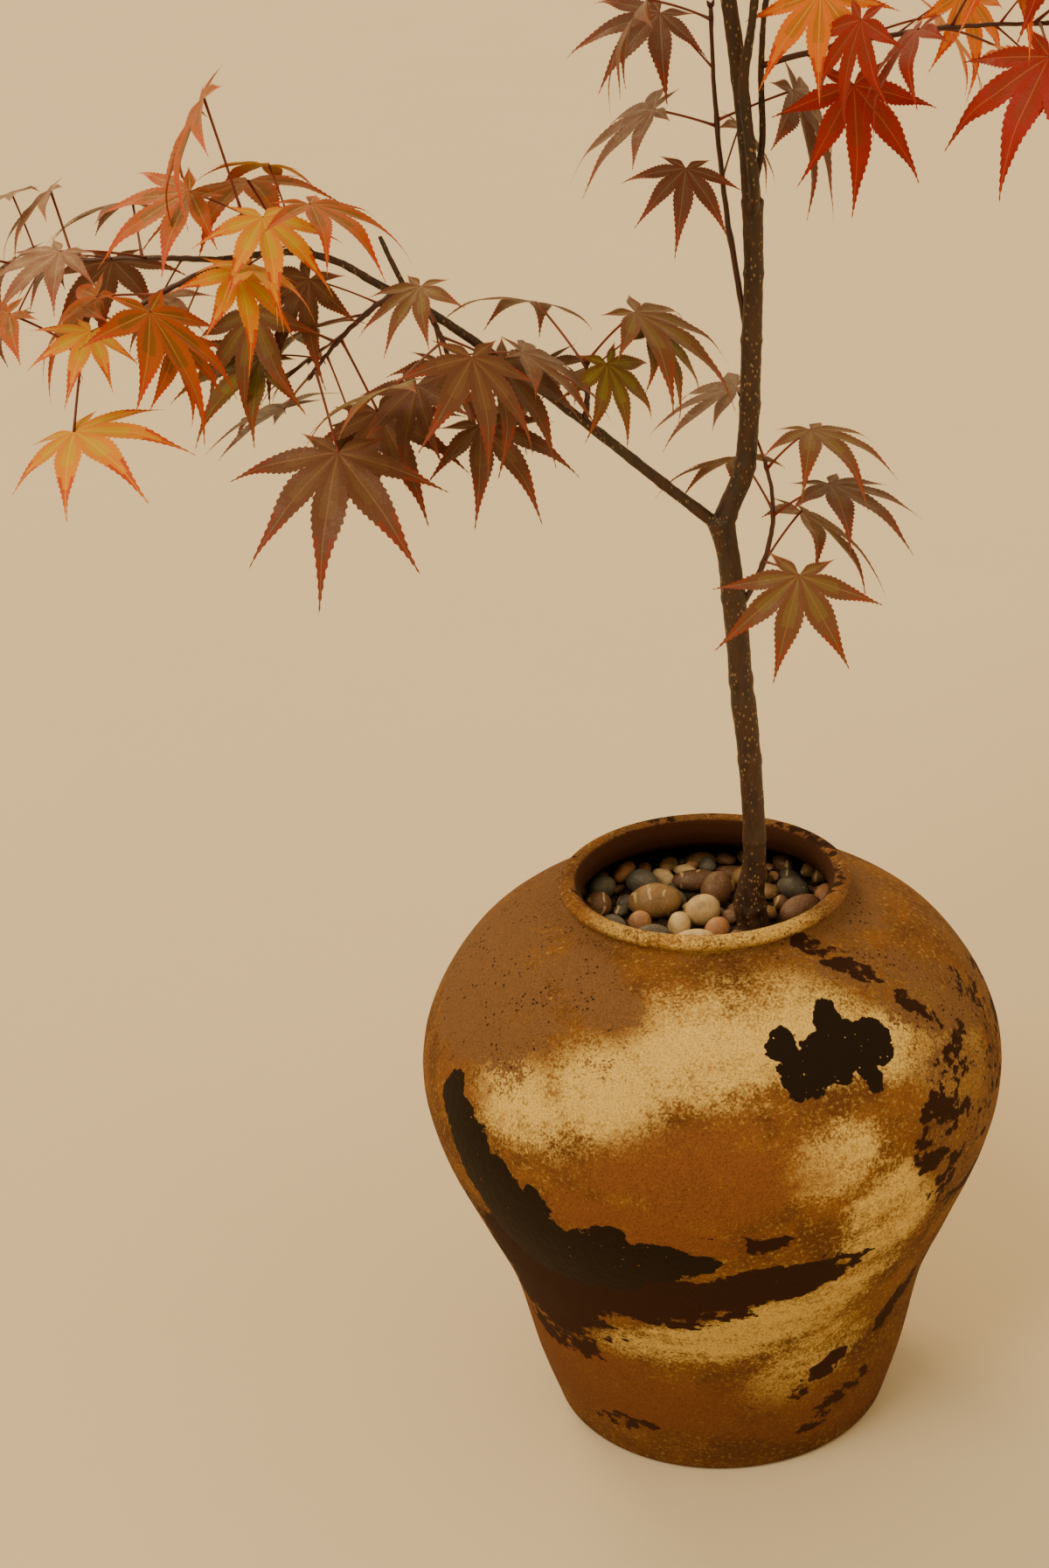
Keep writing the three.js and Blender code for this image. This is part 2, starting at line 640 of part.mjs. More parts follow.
// The stem of a spray and its side twigs, which leave it in pairs
function sprayTwigs(spray) {
  const roll = dice(spray.seed);
  const limb = limbs[spray.limb];
  const { point, way } = pathAt(limb.path, spray.at);
  const thick = spray.at === 1 ? limb.radii[limb.radii.length - 1] : STEM_THICK;
  const root = spray.at === 1 ? point.addScaledVector(way, -thick) : point;
  const reach = new THREE.Vector3(...spray.reach);
  const bow = new THREE.Vector3(...spray.bow);
  const stem = { path: twigPath(root, reach, bow, STEM_STEPS), thick, thin: STEM_THIN };
  const twigs = [stem];
  for (let node = 1; node <= spray.twigs; node += 1) {
    const at = pathAt(stem.path, node / spray.pairs);
    const level = at.way.clone().cross(UP).normalize();
    for (const side of [-1, 1]) {
      const out = at.way.clone().multiplyScalar(dealt(TWIG_FORWARD_DEAL, roll));
      out.addScaledVector(level, side).addScaledVector(UP, dealt(TWIG_RISE_DEAL, roll));
      out.normalize().multiplyScalar(reach.length() * (TWIG_LENGTH - TWIG_SHORTER * node));
      const twigRoot = at.point.clone().addScaledVector(at.way, side * ROOT_OFFSET);
      const path = twigPath(twigRoot, out, UP.clone().multiplyScalar(TWIG_BOW), TWIG_STEPS);
      twigs.push({ path, thick: TWIG_THICK, thin: STEM_THIN });
    }
  }
  return twigs;
}

// Leaves come in pairs at the nodes of the twigs; every other pair stands more upright
function leafRoots(spray, twigs) {
  const roots = [];
  twigs.forEach((twig, index) => {
    const pairs = index === 0 ? spray.pairs : TWIG_PAIRS;
    const bare = index === 0 ? Math.max(spray.twigs, spray.bare) : 0;
    for (let pair = bare + 1; pair <= pairs; pair += 1) {
      const at = pathAt(twig.path, pair === pairs ? LAST_NODE : pair / pairs);
      for (const side of [-1, 1]) {
        const point = at.point.clone().addScaledVector(at.way, side * ROOT_OFFSET);
        roots.push({ point, way: at.way, side, upright: pair % 2 === 0 });
      }
    }
  });
  return roots;
}

// The twigs and leaves that have grown so far
const growth = [];

// True if a stretch a-b of a limb or twig is near enough to a leaf to be looked at
function isNear(leaf, middle, a, b) {
  return distanceBetween(middle, middle, a, b) < LEAF_BALL * leaf.size + SEARCH_MARGIN;
}

// True if any rib of a leaf, from its palm to a tip, comes closer to a-b than a distance
function ribsMeet(leaf, tips, a, b, room) {
  return tips.some((tip) => distanceBetween(leaf.palm, tip, a, b) < room);
}

// A leaf's petiole may touch its own limb only in its first part
function clearsLimbs(leaf, tips, middle) {
  const outer = leaf.root.clone().lerp(leaf.palm, LEAF_MIDDLE);
  return Object.values(limbs).every((limb) =>
    limb.path.slice(1).every((b, i) => {
      const a = limb.path[i];
      const radius = limb.radii[i + 1];
      if (!isNear(leaf, middle, a, b)) {
        return true;
      }
      const petioleMeets = distanceBetween(outer, leaf.palm, a, b) < radius + PETIOLE_LIMB_ROOM;
      return !petioleMeets && !ribsMeet(leaf, tips, a, b, radius + LIMB_ROOM);
    }),
  );
}

function clearsTwig(leaf, tips, middle, twig, own) {
  return twig.path.slice(1).every((b, i) => {
    const a = twig.path[i];
    if (!isNear(leaf, middle, a, b)) {
      return true;
    }
    if (ribsMeet(leaf, tips, a, b, own ? TWIG_ROOM : NEXT_SPRAY_ROOM)) {
      return false;
    }
    return own || distanceBetween(leaf.root, leaf.palm, a, b) >= PETIOLE_TWIG_ROOM;
  });
}

function clearsLeaf(leaf, tips, middle, other, own) {
  const room = own ? SPRAY_ROOM : NEXT_SPRAY_ROOM;
  const { root, palm } = other.leaf;
  if (other.middle.distanceTo(middle) > LEAF_BALL * (leaf.size + other.leaf.size)) {
    return true;
  }
  if (!own && distanceBetween(leaf.root, leaf.palm, root, palm) < PETIOLE_TWIG_ROOM) {
    return false;
  }
  if (ribsMeet(leaf, tips, root, palm, room / 2)) {
    return false;
  }
  return other.tips.every((otherTip) => {
    const petioleMeets = distanceBetween(leaf.root, leaf.palm, palm, otherTip) < room / 2;
    return !petioleMeets && !ribsMeet(leaf, tips, palm, otherTip, room);
  });
}

// True if a leaf keeps to its spray's room and clears the limbs, twigs and other leaves
function leafFits(leaf, spray, stem) {
  const tips = LOBES.map(([degrees, share]) => leafPoint(leaf, degrees, share));
  const start = stem.path[0];
  const end = stem.path[stem.path.length - 1];
  const reach = SPRAY_REACH * spray.leaf;
  if (tips.some((tip) => distanceBetween(tip, tip, start, end) > reach)) {
    return false;
  }
  const middle = leaf.palm.clone().addScaledVector(leaf.way, leaf.size * LEAF_MIDDLE);
  const clearsGrowth = growth.every((other) => {
    const own = other.spray === spray;
    if (other.twig) {
      return clearsTwig(leaf, tips, middle, other.twig, own);
    }
    return clearsLeaf(leaf, tips, middle, other, own);
  });
  if (!clearsGrowth || !clearsLimbs(leaf, tips, middle)) {
    return false;
  }
  growth.push({ spray, leaf, tips, middle });
  return true;
}

// The leaves of a spray: each is tried a few times at its node, and left out if none fits
function sprayLeaves(spray, twigs) {
  const leaves = [];
  leafRoots(spray, twigs).forEach(({ point, way, side, upright }, index) => {
    const roll = dice(spray.seed * SEEDS_PER_SPRAY + index);
    const level = way.clone().cross(UP).normalize();
    const lift = level.clone().cross(way);
    for (let attempt = 0; attempt < LEAF_TRIES; attempt += 1) {
      const angle = dealt(upright ? UPRIGHT_ANGLE_DEAL : LEVEL_ANGLE_DEAL, roll);
      const out = level.clone().multiplyScalar(side * Math.cos(angle));
      out.addScaledVector(lift, Math.sin(angle) * (upright ? side : 1));
      out.addScaledVector(way, dealt(FORWARD_DEAL, roll)).normalize();
      const leaf = leafFrame(point, out, roll, spray.leaf);
      if (leafFits(leaf, spray, twigs[0])) {
        leaves.push(leaf);
        break;
      }
    }
  });
  return leaves;
}

function makeSprays() {
  const grown = SPRAYS.map((spray) => ({ spray, twigs: sprayTwigs(spray) }));
  for (const { spray, twigs } of grown) {
    twigs.forEach((twig) => growth.push({ spray, twig }));
  }
  grown.forEach(({ spray, twigs }, index) => {
    const pieces = twigs.map((twig) => {
      const last = twig.path.length - 1;
      const radii = twig.path.map((point, i) => twig.thick + ((twig.thin - twig.thick) * i) / last);
      return solidOf(tube(twig.path, radii, 3));
    });
    const leaves = sprayLeaves(spray, twigs);
    let solid = [...pieces, ...leaves.map(leafSolid)].reduce((sum, piece) => sum.add(piece));
    solid = solid.subtract(seatOf(limbs[spray.limb]));
    place(spray.name, geometryOf(solid), leafFinish(LEAF_COLOURS[index % LEAF_COLOURS.length]));
  });
}

makeJar();
makeSoil();
makePebbles();
makeLimbs();
makeHighBoughs();
makeSprays();

export default plant;
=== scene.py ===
"""A young maple with bronze leaves in a round-shouldered stoneware jar."""

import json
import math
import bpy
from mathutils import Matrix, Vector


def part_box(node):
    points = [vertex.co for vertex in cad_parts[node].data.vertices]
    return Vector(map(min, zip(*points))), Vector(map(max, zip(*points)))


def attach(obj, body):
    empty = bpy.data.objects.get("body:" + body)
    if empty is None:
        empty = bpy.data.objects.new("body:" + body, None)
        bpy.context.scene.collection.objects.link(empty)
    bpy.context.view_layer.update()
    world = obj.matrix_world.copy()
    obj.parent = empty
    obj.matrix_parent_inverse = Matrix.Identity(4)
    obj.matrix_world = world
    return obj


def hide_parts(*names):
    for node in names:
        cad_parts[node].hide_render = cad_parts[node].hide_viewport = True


bl_info = {
    "name": "Potted Japanese Maple",
    "version": (1, 0, 0),
    "blender": (4, 5, 0),
    "location": "View3D > Sidebar > Maple",
    "description": "Dresses the maple, its jar and its pebbles over the packed solids",
    "category": "Object",
}

import bpy
import numpy as np
from bpy.props import FloatProperty, FloatVectorProperty, IntProperty, PointerProperty
from mathutils import Matrix, Vector, noise

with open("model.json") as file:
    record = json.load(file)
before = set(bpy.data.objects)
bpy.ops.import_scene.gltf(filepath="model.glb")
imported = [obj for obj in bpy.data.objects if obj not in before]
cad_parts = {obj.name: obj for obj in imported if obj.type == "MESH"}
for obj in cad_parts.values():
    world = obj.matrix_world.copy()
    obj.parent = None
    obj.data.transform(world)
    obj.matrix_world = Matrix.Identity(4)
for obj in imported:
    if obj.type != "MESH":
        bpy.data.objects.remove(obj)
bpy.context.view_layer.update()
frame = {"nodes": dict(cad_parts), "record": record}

MM = 0.001
UP = np.array([0.0, 0.0, 1.0])

# The jar's outside and its lip, [radius, height] in mm
JAR_OUTSIDE = [
    [89.4, 3], [99.7, 37], [110.9, 85], [128.6, 128], [144.2, 167], [150, 201],
    [143.7, 231], [124.4, 262], [101.6, 280], [82, 288.5],
]
JAR_LIP = [
    [72.5, 292], [70.5, 296], [73.4, 298.6], [74.2, 301], [72.2, 303.6], [69.2, 304.4],
    [65, 302.2], [62.5, 296.5], [64, 290.5],
]
FOOT_CHAMFER = 3
JAR_FLOOR = 14
JAR_THICKNESS = 8
NECK_HEIGHT = 289

# Rings of faces up the jar: under its foot, outside, over the lip and inside
FOOT_RINGS = 5
OUTSIDE_RINGS = 54
LIP_RINGS = 30
# The lip's rings past these, over the inner lip and down the inside, get painted shade
LIP_RINGS_IN_LIGHT = 22
INSIDE_RINGS = 24

# What lies in the jar, in mm: soil, the trunk's foot [right, back, reach], crumbs and gravel
SOIL_LEVEL = 268
TRUNK_FOOT = (24, 0, 11)
CRUMBS = 900
CRUMB_REACH = 92
CRUMB_SIZES = (0.8, 2.6)
CRUMB_SEED = 5
GRAVEL_TRIES = 9000
GRAVEL_REACH = 84
GRAVEL_SEED = 17
LARGE_GRAVEL = (5, 9)
SMALL_GRAVEL = (2.8, 5)
STONE_KINDS = ("tan", "brown", "slate", "peach", "cream")

# Limbs: rings of each, then [right, back, height, diameter] in mm along its middle
LIMBS = {
    "trunk": (18, [
        [24, 0, 268.3, 22], [24, 0, 274, 17.5], [22.6, 0, 289, 15.5], [25, 0, 305, 12.6],
        [25.8, 0, 322, 11.4], [24.3, 0, 370, 11.6], [22.2, 0, 397, 12.8],
        [21.6, 0, 404, 11.6], [19.4, 0, 444, 12], [16.3, 0, 478, 11], [13.5, 0, 492, 14],
    ]),
    "leader_lower": (12, [
        [14.5, 0, 489, 10.5], [19, 0, 501, 10.5], [25, 0, 515, 10.4], [28.4, 0, 541, 9.8],
        [30.1, 0, 574, 9.9], [32.1, 0, 608, 9], [32.4, 0, 645, 10],
    ]),
    "leader_upper": (14, [
        [32.3, 0, 641, 9], [30, 2, 676, 7.8], [26.7, 3, 711, 7.6], [21, 5, 760, 7.2],
        [15, 7, 830, 6.4], [17, 4, 910, 5.4], [21, 0, 990, 4.2], [18, -3, 1060, 3],
    ]),
    "left_bough_inner": (8, [
        [15, 0, 487, 6], [-10, -4, 510, 5.6], [-52, -12, 550, 4.8], [-100, -22, 593, 4.4],
        [-124, -26, 612, 4.2],
    ]),
    "left_bough_outer": (8, [
        [-122.6, -25.7, 610.9, 4], [-140, -29, 622, 3.8], [-155, -30, 632, 3.6],
        [-173, -32, 638, 3.4], [-212, -35, 637, 3],
    ]),
    "dead_stub": (3, [[-124, -26, 612, 3.4], [-131, -23, 627, 2.8], [-137, -20, 641, 2.2]]),
    "front_stem": (14, [
        [32.4, 0, 636, 5], [33, -10, 652, 5], [31, -11, 677, 4.8], [29.5, -11.5, 700, 5],
        [33, -14, 722, 4], [39, -24, 760, 3.8], [58, -52, 815, 3.2], [84, -82, 862, 2.6],
    ]),
    "right_stem": (10, [
        [32.4, 0, 648, 3.6], [37.5, 8, 668, 3.4], [38, 10, 703, 3], [43, 14, 740, 2.8],
        [66, 22, 790, 2.6], [104, 30, 830, 2.2],
    ]),
}

# Boughs above the photograph, from the lowest to the highest, in mm, degrees and shares
HIGH_BOUGHS = 6
HIGH_HEIGHTS = (752, 1000)
HIGH_REACHES = (165, 95)
HIGH_FIRST_TURN = 100
TURN_BETWEEN_BOUGHS = 137.5
HIGH_RISE = 0.95
HIGH_BEND = 0.3
HIGH_DIAMETERS = (4.2, 2.2)
HIGH_RINGS = 5

# Old leaf scars ring the limbs: mm between them, how far they swell and how broad they are
SCAR_SPACING = {"trunk": 41.0, "leader_lower": 33.0, "leader_upper": 47.0}
OTHER_SCAR_SPACING = 27.0
SCAR_SWELL = 0.13
THIN_SCAR_SWELL = 0.09
SCAR_BREADTH = 2.2

# Leaves: seven lobes, degrees from the middle lobe and share of its length, with their bands
LOBE_TURNS = np.array([-122.0, -77, -37, 0, 37, 77, 122])
LOBE_SHARES = np.array([0.36, 0.74, 0.94, 1, 0.94, 0.74, 0.36])
LEAF_CURL = 0.2
DRESSED_NOTCH = 0.27
LOBE_BELLY = 0.5
LOBE_TAPER = 2.6
DRIP_TIP = 0.05
RIB_HALF_WIDTH = 0.006
OUTER_HALF_TURN = 30
OUTER_NOTCH = 0.1
NEAR_LEAF = (30, 3, (-1, -0.5, -0.1, 0.1, 0.5, 1))
FAR_LEAF = (7, 1, (-1, 0, 1))
FAR_TEETH = 1.4
BLADE_FROM = 0.3
TIP_FROM = 0.62
OUTER_TIP_FROM = 0.45
LIGHT = np.array([-0.3, -1, 0]) / math.hypot(0.3, 1)
LIGHT_SHARE = 0.75

# What a leaf or side twig is dealt, each as (least, spread)
PETIOLE_DEAL = (0.4, 0.5)
SIZE_DEAL = (0.7, 0.42)
SWING_DEAL = (-1, 2)
DROOP_DEAL = (0.05, 1.1)
LEAN_DEAL = (-0.35, 0.7)
LEVEL_ANGLE_DEAL = (-0.35, 0.9)
UPRIGHT_ANGLE_DEAL = (0.5, 0.9)
FORWARD_DEAL = (0.2, 0.7)
TWIG_FORWARD_DEAL = (0.55, 0.3)
TWIG_RISE_DEAL = (-0.245, 0.7)
TWIG_LENGTH = 0.75
TWIG_SHORTER = 0.12
TWIG_BOW = 6
TWIG_PAIRS = 2
ROOT_OFFSET = 1.3
STEM_THICK = 1.6
TWIG_THICK = 1.2
STEM_THIN = 0.85
LAST_NODE = 0.97
LEAF_TRIES = 14
FINER_TRIES = 24
SEEDS_PER_SPRAY = 64
FINER_SEED = 7000
FINER_SHARES = (0, 0.5, 0.25)
LEVEL_SIZES = (1, 0.8, 0.66, 0.7)
FINE_TWIG_LEVEL = 3

# Finer twigs: where they leave a side twig, how long they are in mm, and their ways
FINE_SHARES = (0.22, 0.5, 0.78)
FINE_REACH_DEAL = (22, 14)
FINE_FORWARD_DEAL = (0.4, 0.5)
FINE_RISE_DEAL = (-0.3, 0.8)
FINE_THICK = 0.8
FINE_ROOM = 2.5
BARE_SPRAYS = ("spray_low_right",)

# Swellings, buds and leaf stalks in mm, and a stalk's shares of its radius along it
NODE_SWELL = 0.32
BUD_LENGTH = 4.2
BUD_RADII = (0.4, 1.05, 1.1, 0.7, 0.12)
STALK_SEED = 31
STALK_SHARES = (1.7, 1.15, 1, 1, 1, 1, 1.05, 1.2)
FINER_STALK = 0.75

# Least distances in mm that leaves keep from limbs, twigs and each other
LIMB_ROOM = 4
SPRAY_ROOM = 5.5
NEXT_SPRAY_ROOM = 10
FINER_ROOM = 2.6
NEXT_FINER_ROOM = 4.5
TWIG_ROOM = 3
PETIOLE_LIMB_ROOM = 2
PETIOLE_TWIG_ROOM = 4
LEAF_MIDDLE = 0.3
LEAF_BALL = 1.4
SPRAY_REACH = 2

# Sprays: name, limb, share of it where the stem leaves, reach and bow in mm, leaf pairs,
# nodes with side twigs, leaf length, seed, and the leaves' tint
SPRAY_KEYS = ("name", "limb", "at", "reach", "bow", "pairs", "twigs", "leaf", "seed", "tint")
SPRAYS = [
    ("front", "left_bough_inner", 0.93, [15, -34, -26], [0, 0, 8], 2, 0, 66, 35290, "bronze"),
    ("bright", "left_bough_outer", 0.65, [-28, -19, 23], [0, 0, 6], 2, 0, 64, 62697, "amber"),
    ("inner", "left_bough_inner", 0.48, [2, 3, 27], [2, 0, 4], 2, 0, 57, 30954, "bronze"),
    ("hanging", "left_bough_outer", 0.12, [-40, -13, -33], [0, 0, 8], 3, 0, 70, 22905, "bronze"),
    ("lower_left", "left_bough_outer", 0.9, [-78, -25, -34], [0, 0, 10], 2, 0, 62, 16645, "amber"),
    ("left_tip", "left_bough_outer", 1, [-100, 23, -4], [0, 0, 4], 3, 0, 60, 87467, "rose"),
    ("low_right", "trunk", 0.8, [16, -4, 78], [20, 0, 0], 3, 0, 62, 4938, "bronze"),
    ("left_shoot", "leader_lower", 0.667, [-14, 12, 156], [-8, 6, 0], 3, 0, 62, 55735, "rose"),
    ("upper_right", "right_stem", 0.4, [121, -45, 20], [0, 0, 10], 3, 0, 68, 32680, "flame"),
    ("front_stem", "front_stem", 1, [56, -56, 50], [0, 0, 10], 3, 2, 60, 20, "bronze"),
    ("right_stem", "right_stem", 1, [80, 20, 40], [0, 0, 10], 3, 2, 60, 21, "crimson"),
    ("top", "leader_upper", 1, [-6, 6, 84], [0, 0, 0], 4, 2, 54, 22, "crimson"),
]
BARE_NODES = {"spray_left_shoot": 1}
HIGH_TINTS = ["bronze", "bronze", "amber", "bronze", "bronze", "bronze"]
HIGH_STEM_REACH = 84
HIGH_STEM_RISE = 0.35
HIGH_STEM_BOW = [0, 0, 10]
HIGH_LEAF = 64
HIGH_SEED = 40

# How strongly reliefs shade
RELIEF = 0.7

# The stage in metres and degrees: the floor, the camera's place, turns and lens in mm, the
# room's light, and each lamp's name, place, breadth and colour
FLOOR_RADIUS = 14
CAMERA_PLACE = (0, -1.2738, 0.9332)
CAMERA_PITCH = 24.29
CAMERA_ROLL = -3.59
CAMERA_YAW = -3.96
LENS = 64.27
SENSOR = 36
ROOM_COLOUR = "#f4d49c"
ROOM_STRENGTH = 1.2
LAMPS = {
    "key": ("window light", (-1.2, -1.5, 2.4), 28, "#ffeccb"),
    "fill": ("room light", (1.6, -1.0, 1.4), 60, "#ffe2b8"),
    "back": ("back light", (-1.0, 1.5, 1.6), 22, "#ffd79c"),
}


def linear(code):
    """A colour written as sRGB hex, as the linear values that the shaders take."""
    values = [int(code[i:i + 2], 16) / 255 for i in (1, 3, 5)]
    return (*[v / 12.92 if v <= 0.04045 else ((v + 0.055) / 1.055) ** 2.4 for v in values], 1.0)


def hue(name, code, description):
    """A colour setting with its default as sRGB hex."""
    return FloatVectorProperty(
        name=name, description=description, default=linear(code), size=4, min=0, max=1,
        subtype="COLOR",
    )


def length(name, millimetres, description):
    """A size setting with its default in millimetres."""
    return FloatProperty(
        name=name, description=description, default=millimetres * MM, min=0, unit="LENGTH",
        precision=4,
    )


class JarSettings(bpy.types.PropertyGroup):
    """Sizes and colours of the jar."""

    segments: IntProperty(
        name="Segments", description="Columns of faces round the jar", default=160, min=24)
    throwing: length("Throwing ridges", 0.3, "Height of the ridges that the hand leaves")
    clay: hue("Clay", "#80542b", "Ochre body of the jar")
    deep_clay: hue("Deep clay", "#5f3b20", "Darker clouds in the body")
    straw: hue("Straw", "#d8b868", "Pale ash that lies on the shoulder")
    orange: hue("Orange", "#7a4b2a", "Rusty clay in the middle of the belly")
    mauve: hue("Mauve", "#745334", "Specked mauve-brown shoulder")
    umber: hue("Umber", "#2c160c", "Dark red-brown wash")
    splash: hue("Splash", "#190e06", "Smooth near-black splashes")
    # Painted shade, laid inside the neck and towards the foot
    throat: hue("Throat", "#3a2012", "Dark inside of the neck")


class StoneSettings(bpy.types.PropertyGroup):
    """Colours of the pebbles and of what lies between them."""

    gravel_count: IntProperty(
        name="Gravel", description="Small stones between the pebbles", default=170, min=0)
    tan: hue("Tan", "#85673f", "Tan pebbles")
    brown: hue("Brown", "#6b4c38", "Brown pebbles")
    slate: hue("Slate", "#54524c", "Blue-grey pebbles")
    peach: hue("Peach", "#ac7a52", "Peach pebbles")
    cream: hue("Cream", "#cdb384", "Cream pebbles")
    soil: hue("Soil", "#22170f", "Damp potting soil")
    fines: hue("Fines", "#4a3524", "Bark fines in the soil")


class BarkSettings(bpy.types.PropertyGroup):
    """Sizes and colours of the limbs."""

    voxel: length("Voxel", 0.8, "Size of the cells that blend the limbs at their forks")
    grain: length("Grain", 0.14, "Height of the fine bark relief")
    burl: length("Burl", 1.3, "Height of the knobs at the foot of the trunk")
    dark: hue("Dark bark", "#24130a", "Main colour of the young bark")
    warm: hue("Warm bark", "#422613", "Red-brown clouds in the bark")
    algae: hue("Algae", "#3b2c17", "Dull green-grey bloom on the bark")
    speck: hue("Lenticels", "#8a6e4c", "Pale breathing pores of the bark")
    shoot: hue("Shoots", "#45201a", "Thin twigs of this year")
    shoot_shade: hue("Shoot shade", "#2a140e", "Darker clouds on the twigs")


class LeafSettings(bpy.types.PropertyGroup):
    """Shape and colours of the leaves."""

    fold: FloatProperty(
        name="Fold", description="How far each lobe folds up from its midrib", default=0.22,
        min=0, max=1)
    teeth: FloatProperty(
        name="Teeth", description="Depth of the teeth in leaf lengths", default=0.010,
        min=0, max=0.1)
    petiole: length("Leaf stalk", 0.62, "Radius of a leaf stalk")
    stalk: hue("Stalks", "#7a261c", "Crimson leaf stalks")
    stalk_shade: hue("Stalk shade", "#3c1610", "Darker clouds on the stalks")


class StageSettings(bpy.types.PropertyGroup):
    """Floor and lights."""

    floor: hue("Floor", "#cdc0a8", "Plain pale floor")
    floor_clouds: hue("Floor clouds", "#c6b89c", "Faint clouds in the floor's paint")
    key: FloatProperty(
        name="Window light", description="Strength of the main light", default=1.8, min=0)
    fill: FloatProperty(
        name="Room light", description="Strength of the light from the right", default=0.3, min=0)
    back: FloatProperty(
        name="Back light", description="Strength of the light behind the plant", default=1.3,
        min=0)


def feed(tree, made, inputs):
    """Gives inputs their values, outputs that feed them, or nodes whose first outputs do."""
    for socket, value in inputs.items():
        source = value.outputs[0] if isinstance(value, bpy.types.Node) else value
        if isinstance(source, bpy.types.NodeSocket):
            tree.links.new(source, made.inputs[socket])
        elif source is not None:
            made.inputs[socket].default_value = source


def node(tree, kind, inputs=None, **settings):
    """Adds a node with its settings and links."""
    made = tree.nodes.new(kind)
    for name, value in settings.items():
        setattr(made, name, value)
    feed(tree, made, inputs or {})
    return made


def new_material(name):
    """A node material's parts: itself, its tree, its shader and the place its patterns read."""
    made = bpy.data.materials.new(name)
    made.use_nodes = True
    tree = made.node_tree
    place = node(tree, "ShaderNodeTexCoord").outputs["Object"]
    return made, tree, tree.nodes["Principled BSDF"], place


def blotches(tree, place, size, low, high, least=0.0, most=1.0, detail=4.0):
    """Lumps of about a size in metres, from least to most as their noise goes low to high."""
    lumps = node(tree, "ShaderNodeTexNoise", {
        "Vector": place, "Scale": 1 / size, "Detail": detail, "Roughness": 0.6,
    })
    return node(tree, "ShaderNodeMapRange", {
        "Value": lumps, "From Min": low, "From Max": high, "To Min": least, "To Max": most,
    }, interpolation_type="SMOOTHSTEP")


def patch(tree, depth, tear, low, high):
    """Where a painted field lies deep enough, once its edge is torn."""
    torn = node(tree, "ShaderNodeMath", {0: depth, 1: tear})
    return node(tree, "ShaderNodeMapRange", {
        "Value": torn, "From Min": low, "From Max": high,
    }, interpolation_type="SMOOTHSTEP")


def pores(tree, place, apart_by, sprinkled):
    """Round spots a distance apart in metres, where a mask sprinkles them."""
    cells = node(tree, "ShaderNodeTexVoronoi", {"Vector": place, "Scale": 1 / apart_by})
    spots = node(tree, "ShaderNodeMapRange", {"Value": cells, "From Min": 0.3, "From Max": 0.15})
    return node(tree, "ShaderNodeMath", {0: spots, 1: sprinkled}, operation="MULTIPLY")


def dress(tree, shader, colour, coats, reliefs, rough):
    """Lays coats over a colour, each by its mask, and stacks reliefs of real depths in metres."""
    for mask, top in coats:
        colour = node(tree, "ShaderNodeMix", {0: mask, 6: colour, 7: top},
                      data_type="RGBA").outputs[2]
    surface = None
    for height, depth in reliefs:
        surface = node(tree, "ShaderNodeBump", {
            "Height": height, "Distance": depth, "Strength": RELIEF, "Normal": surface,
        })
    feed(tree, shader, {"Base Color": colour, "Normal": surface, "Roughness": rough})


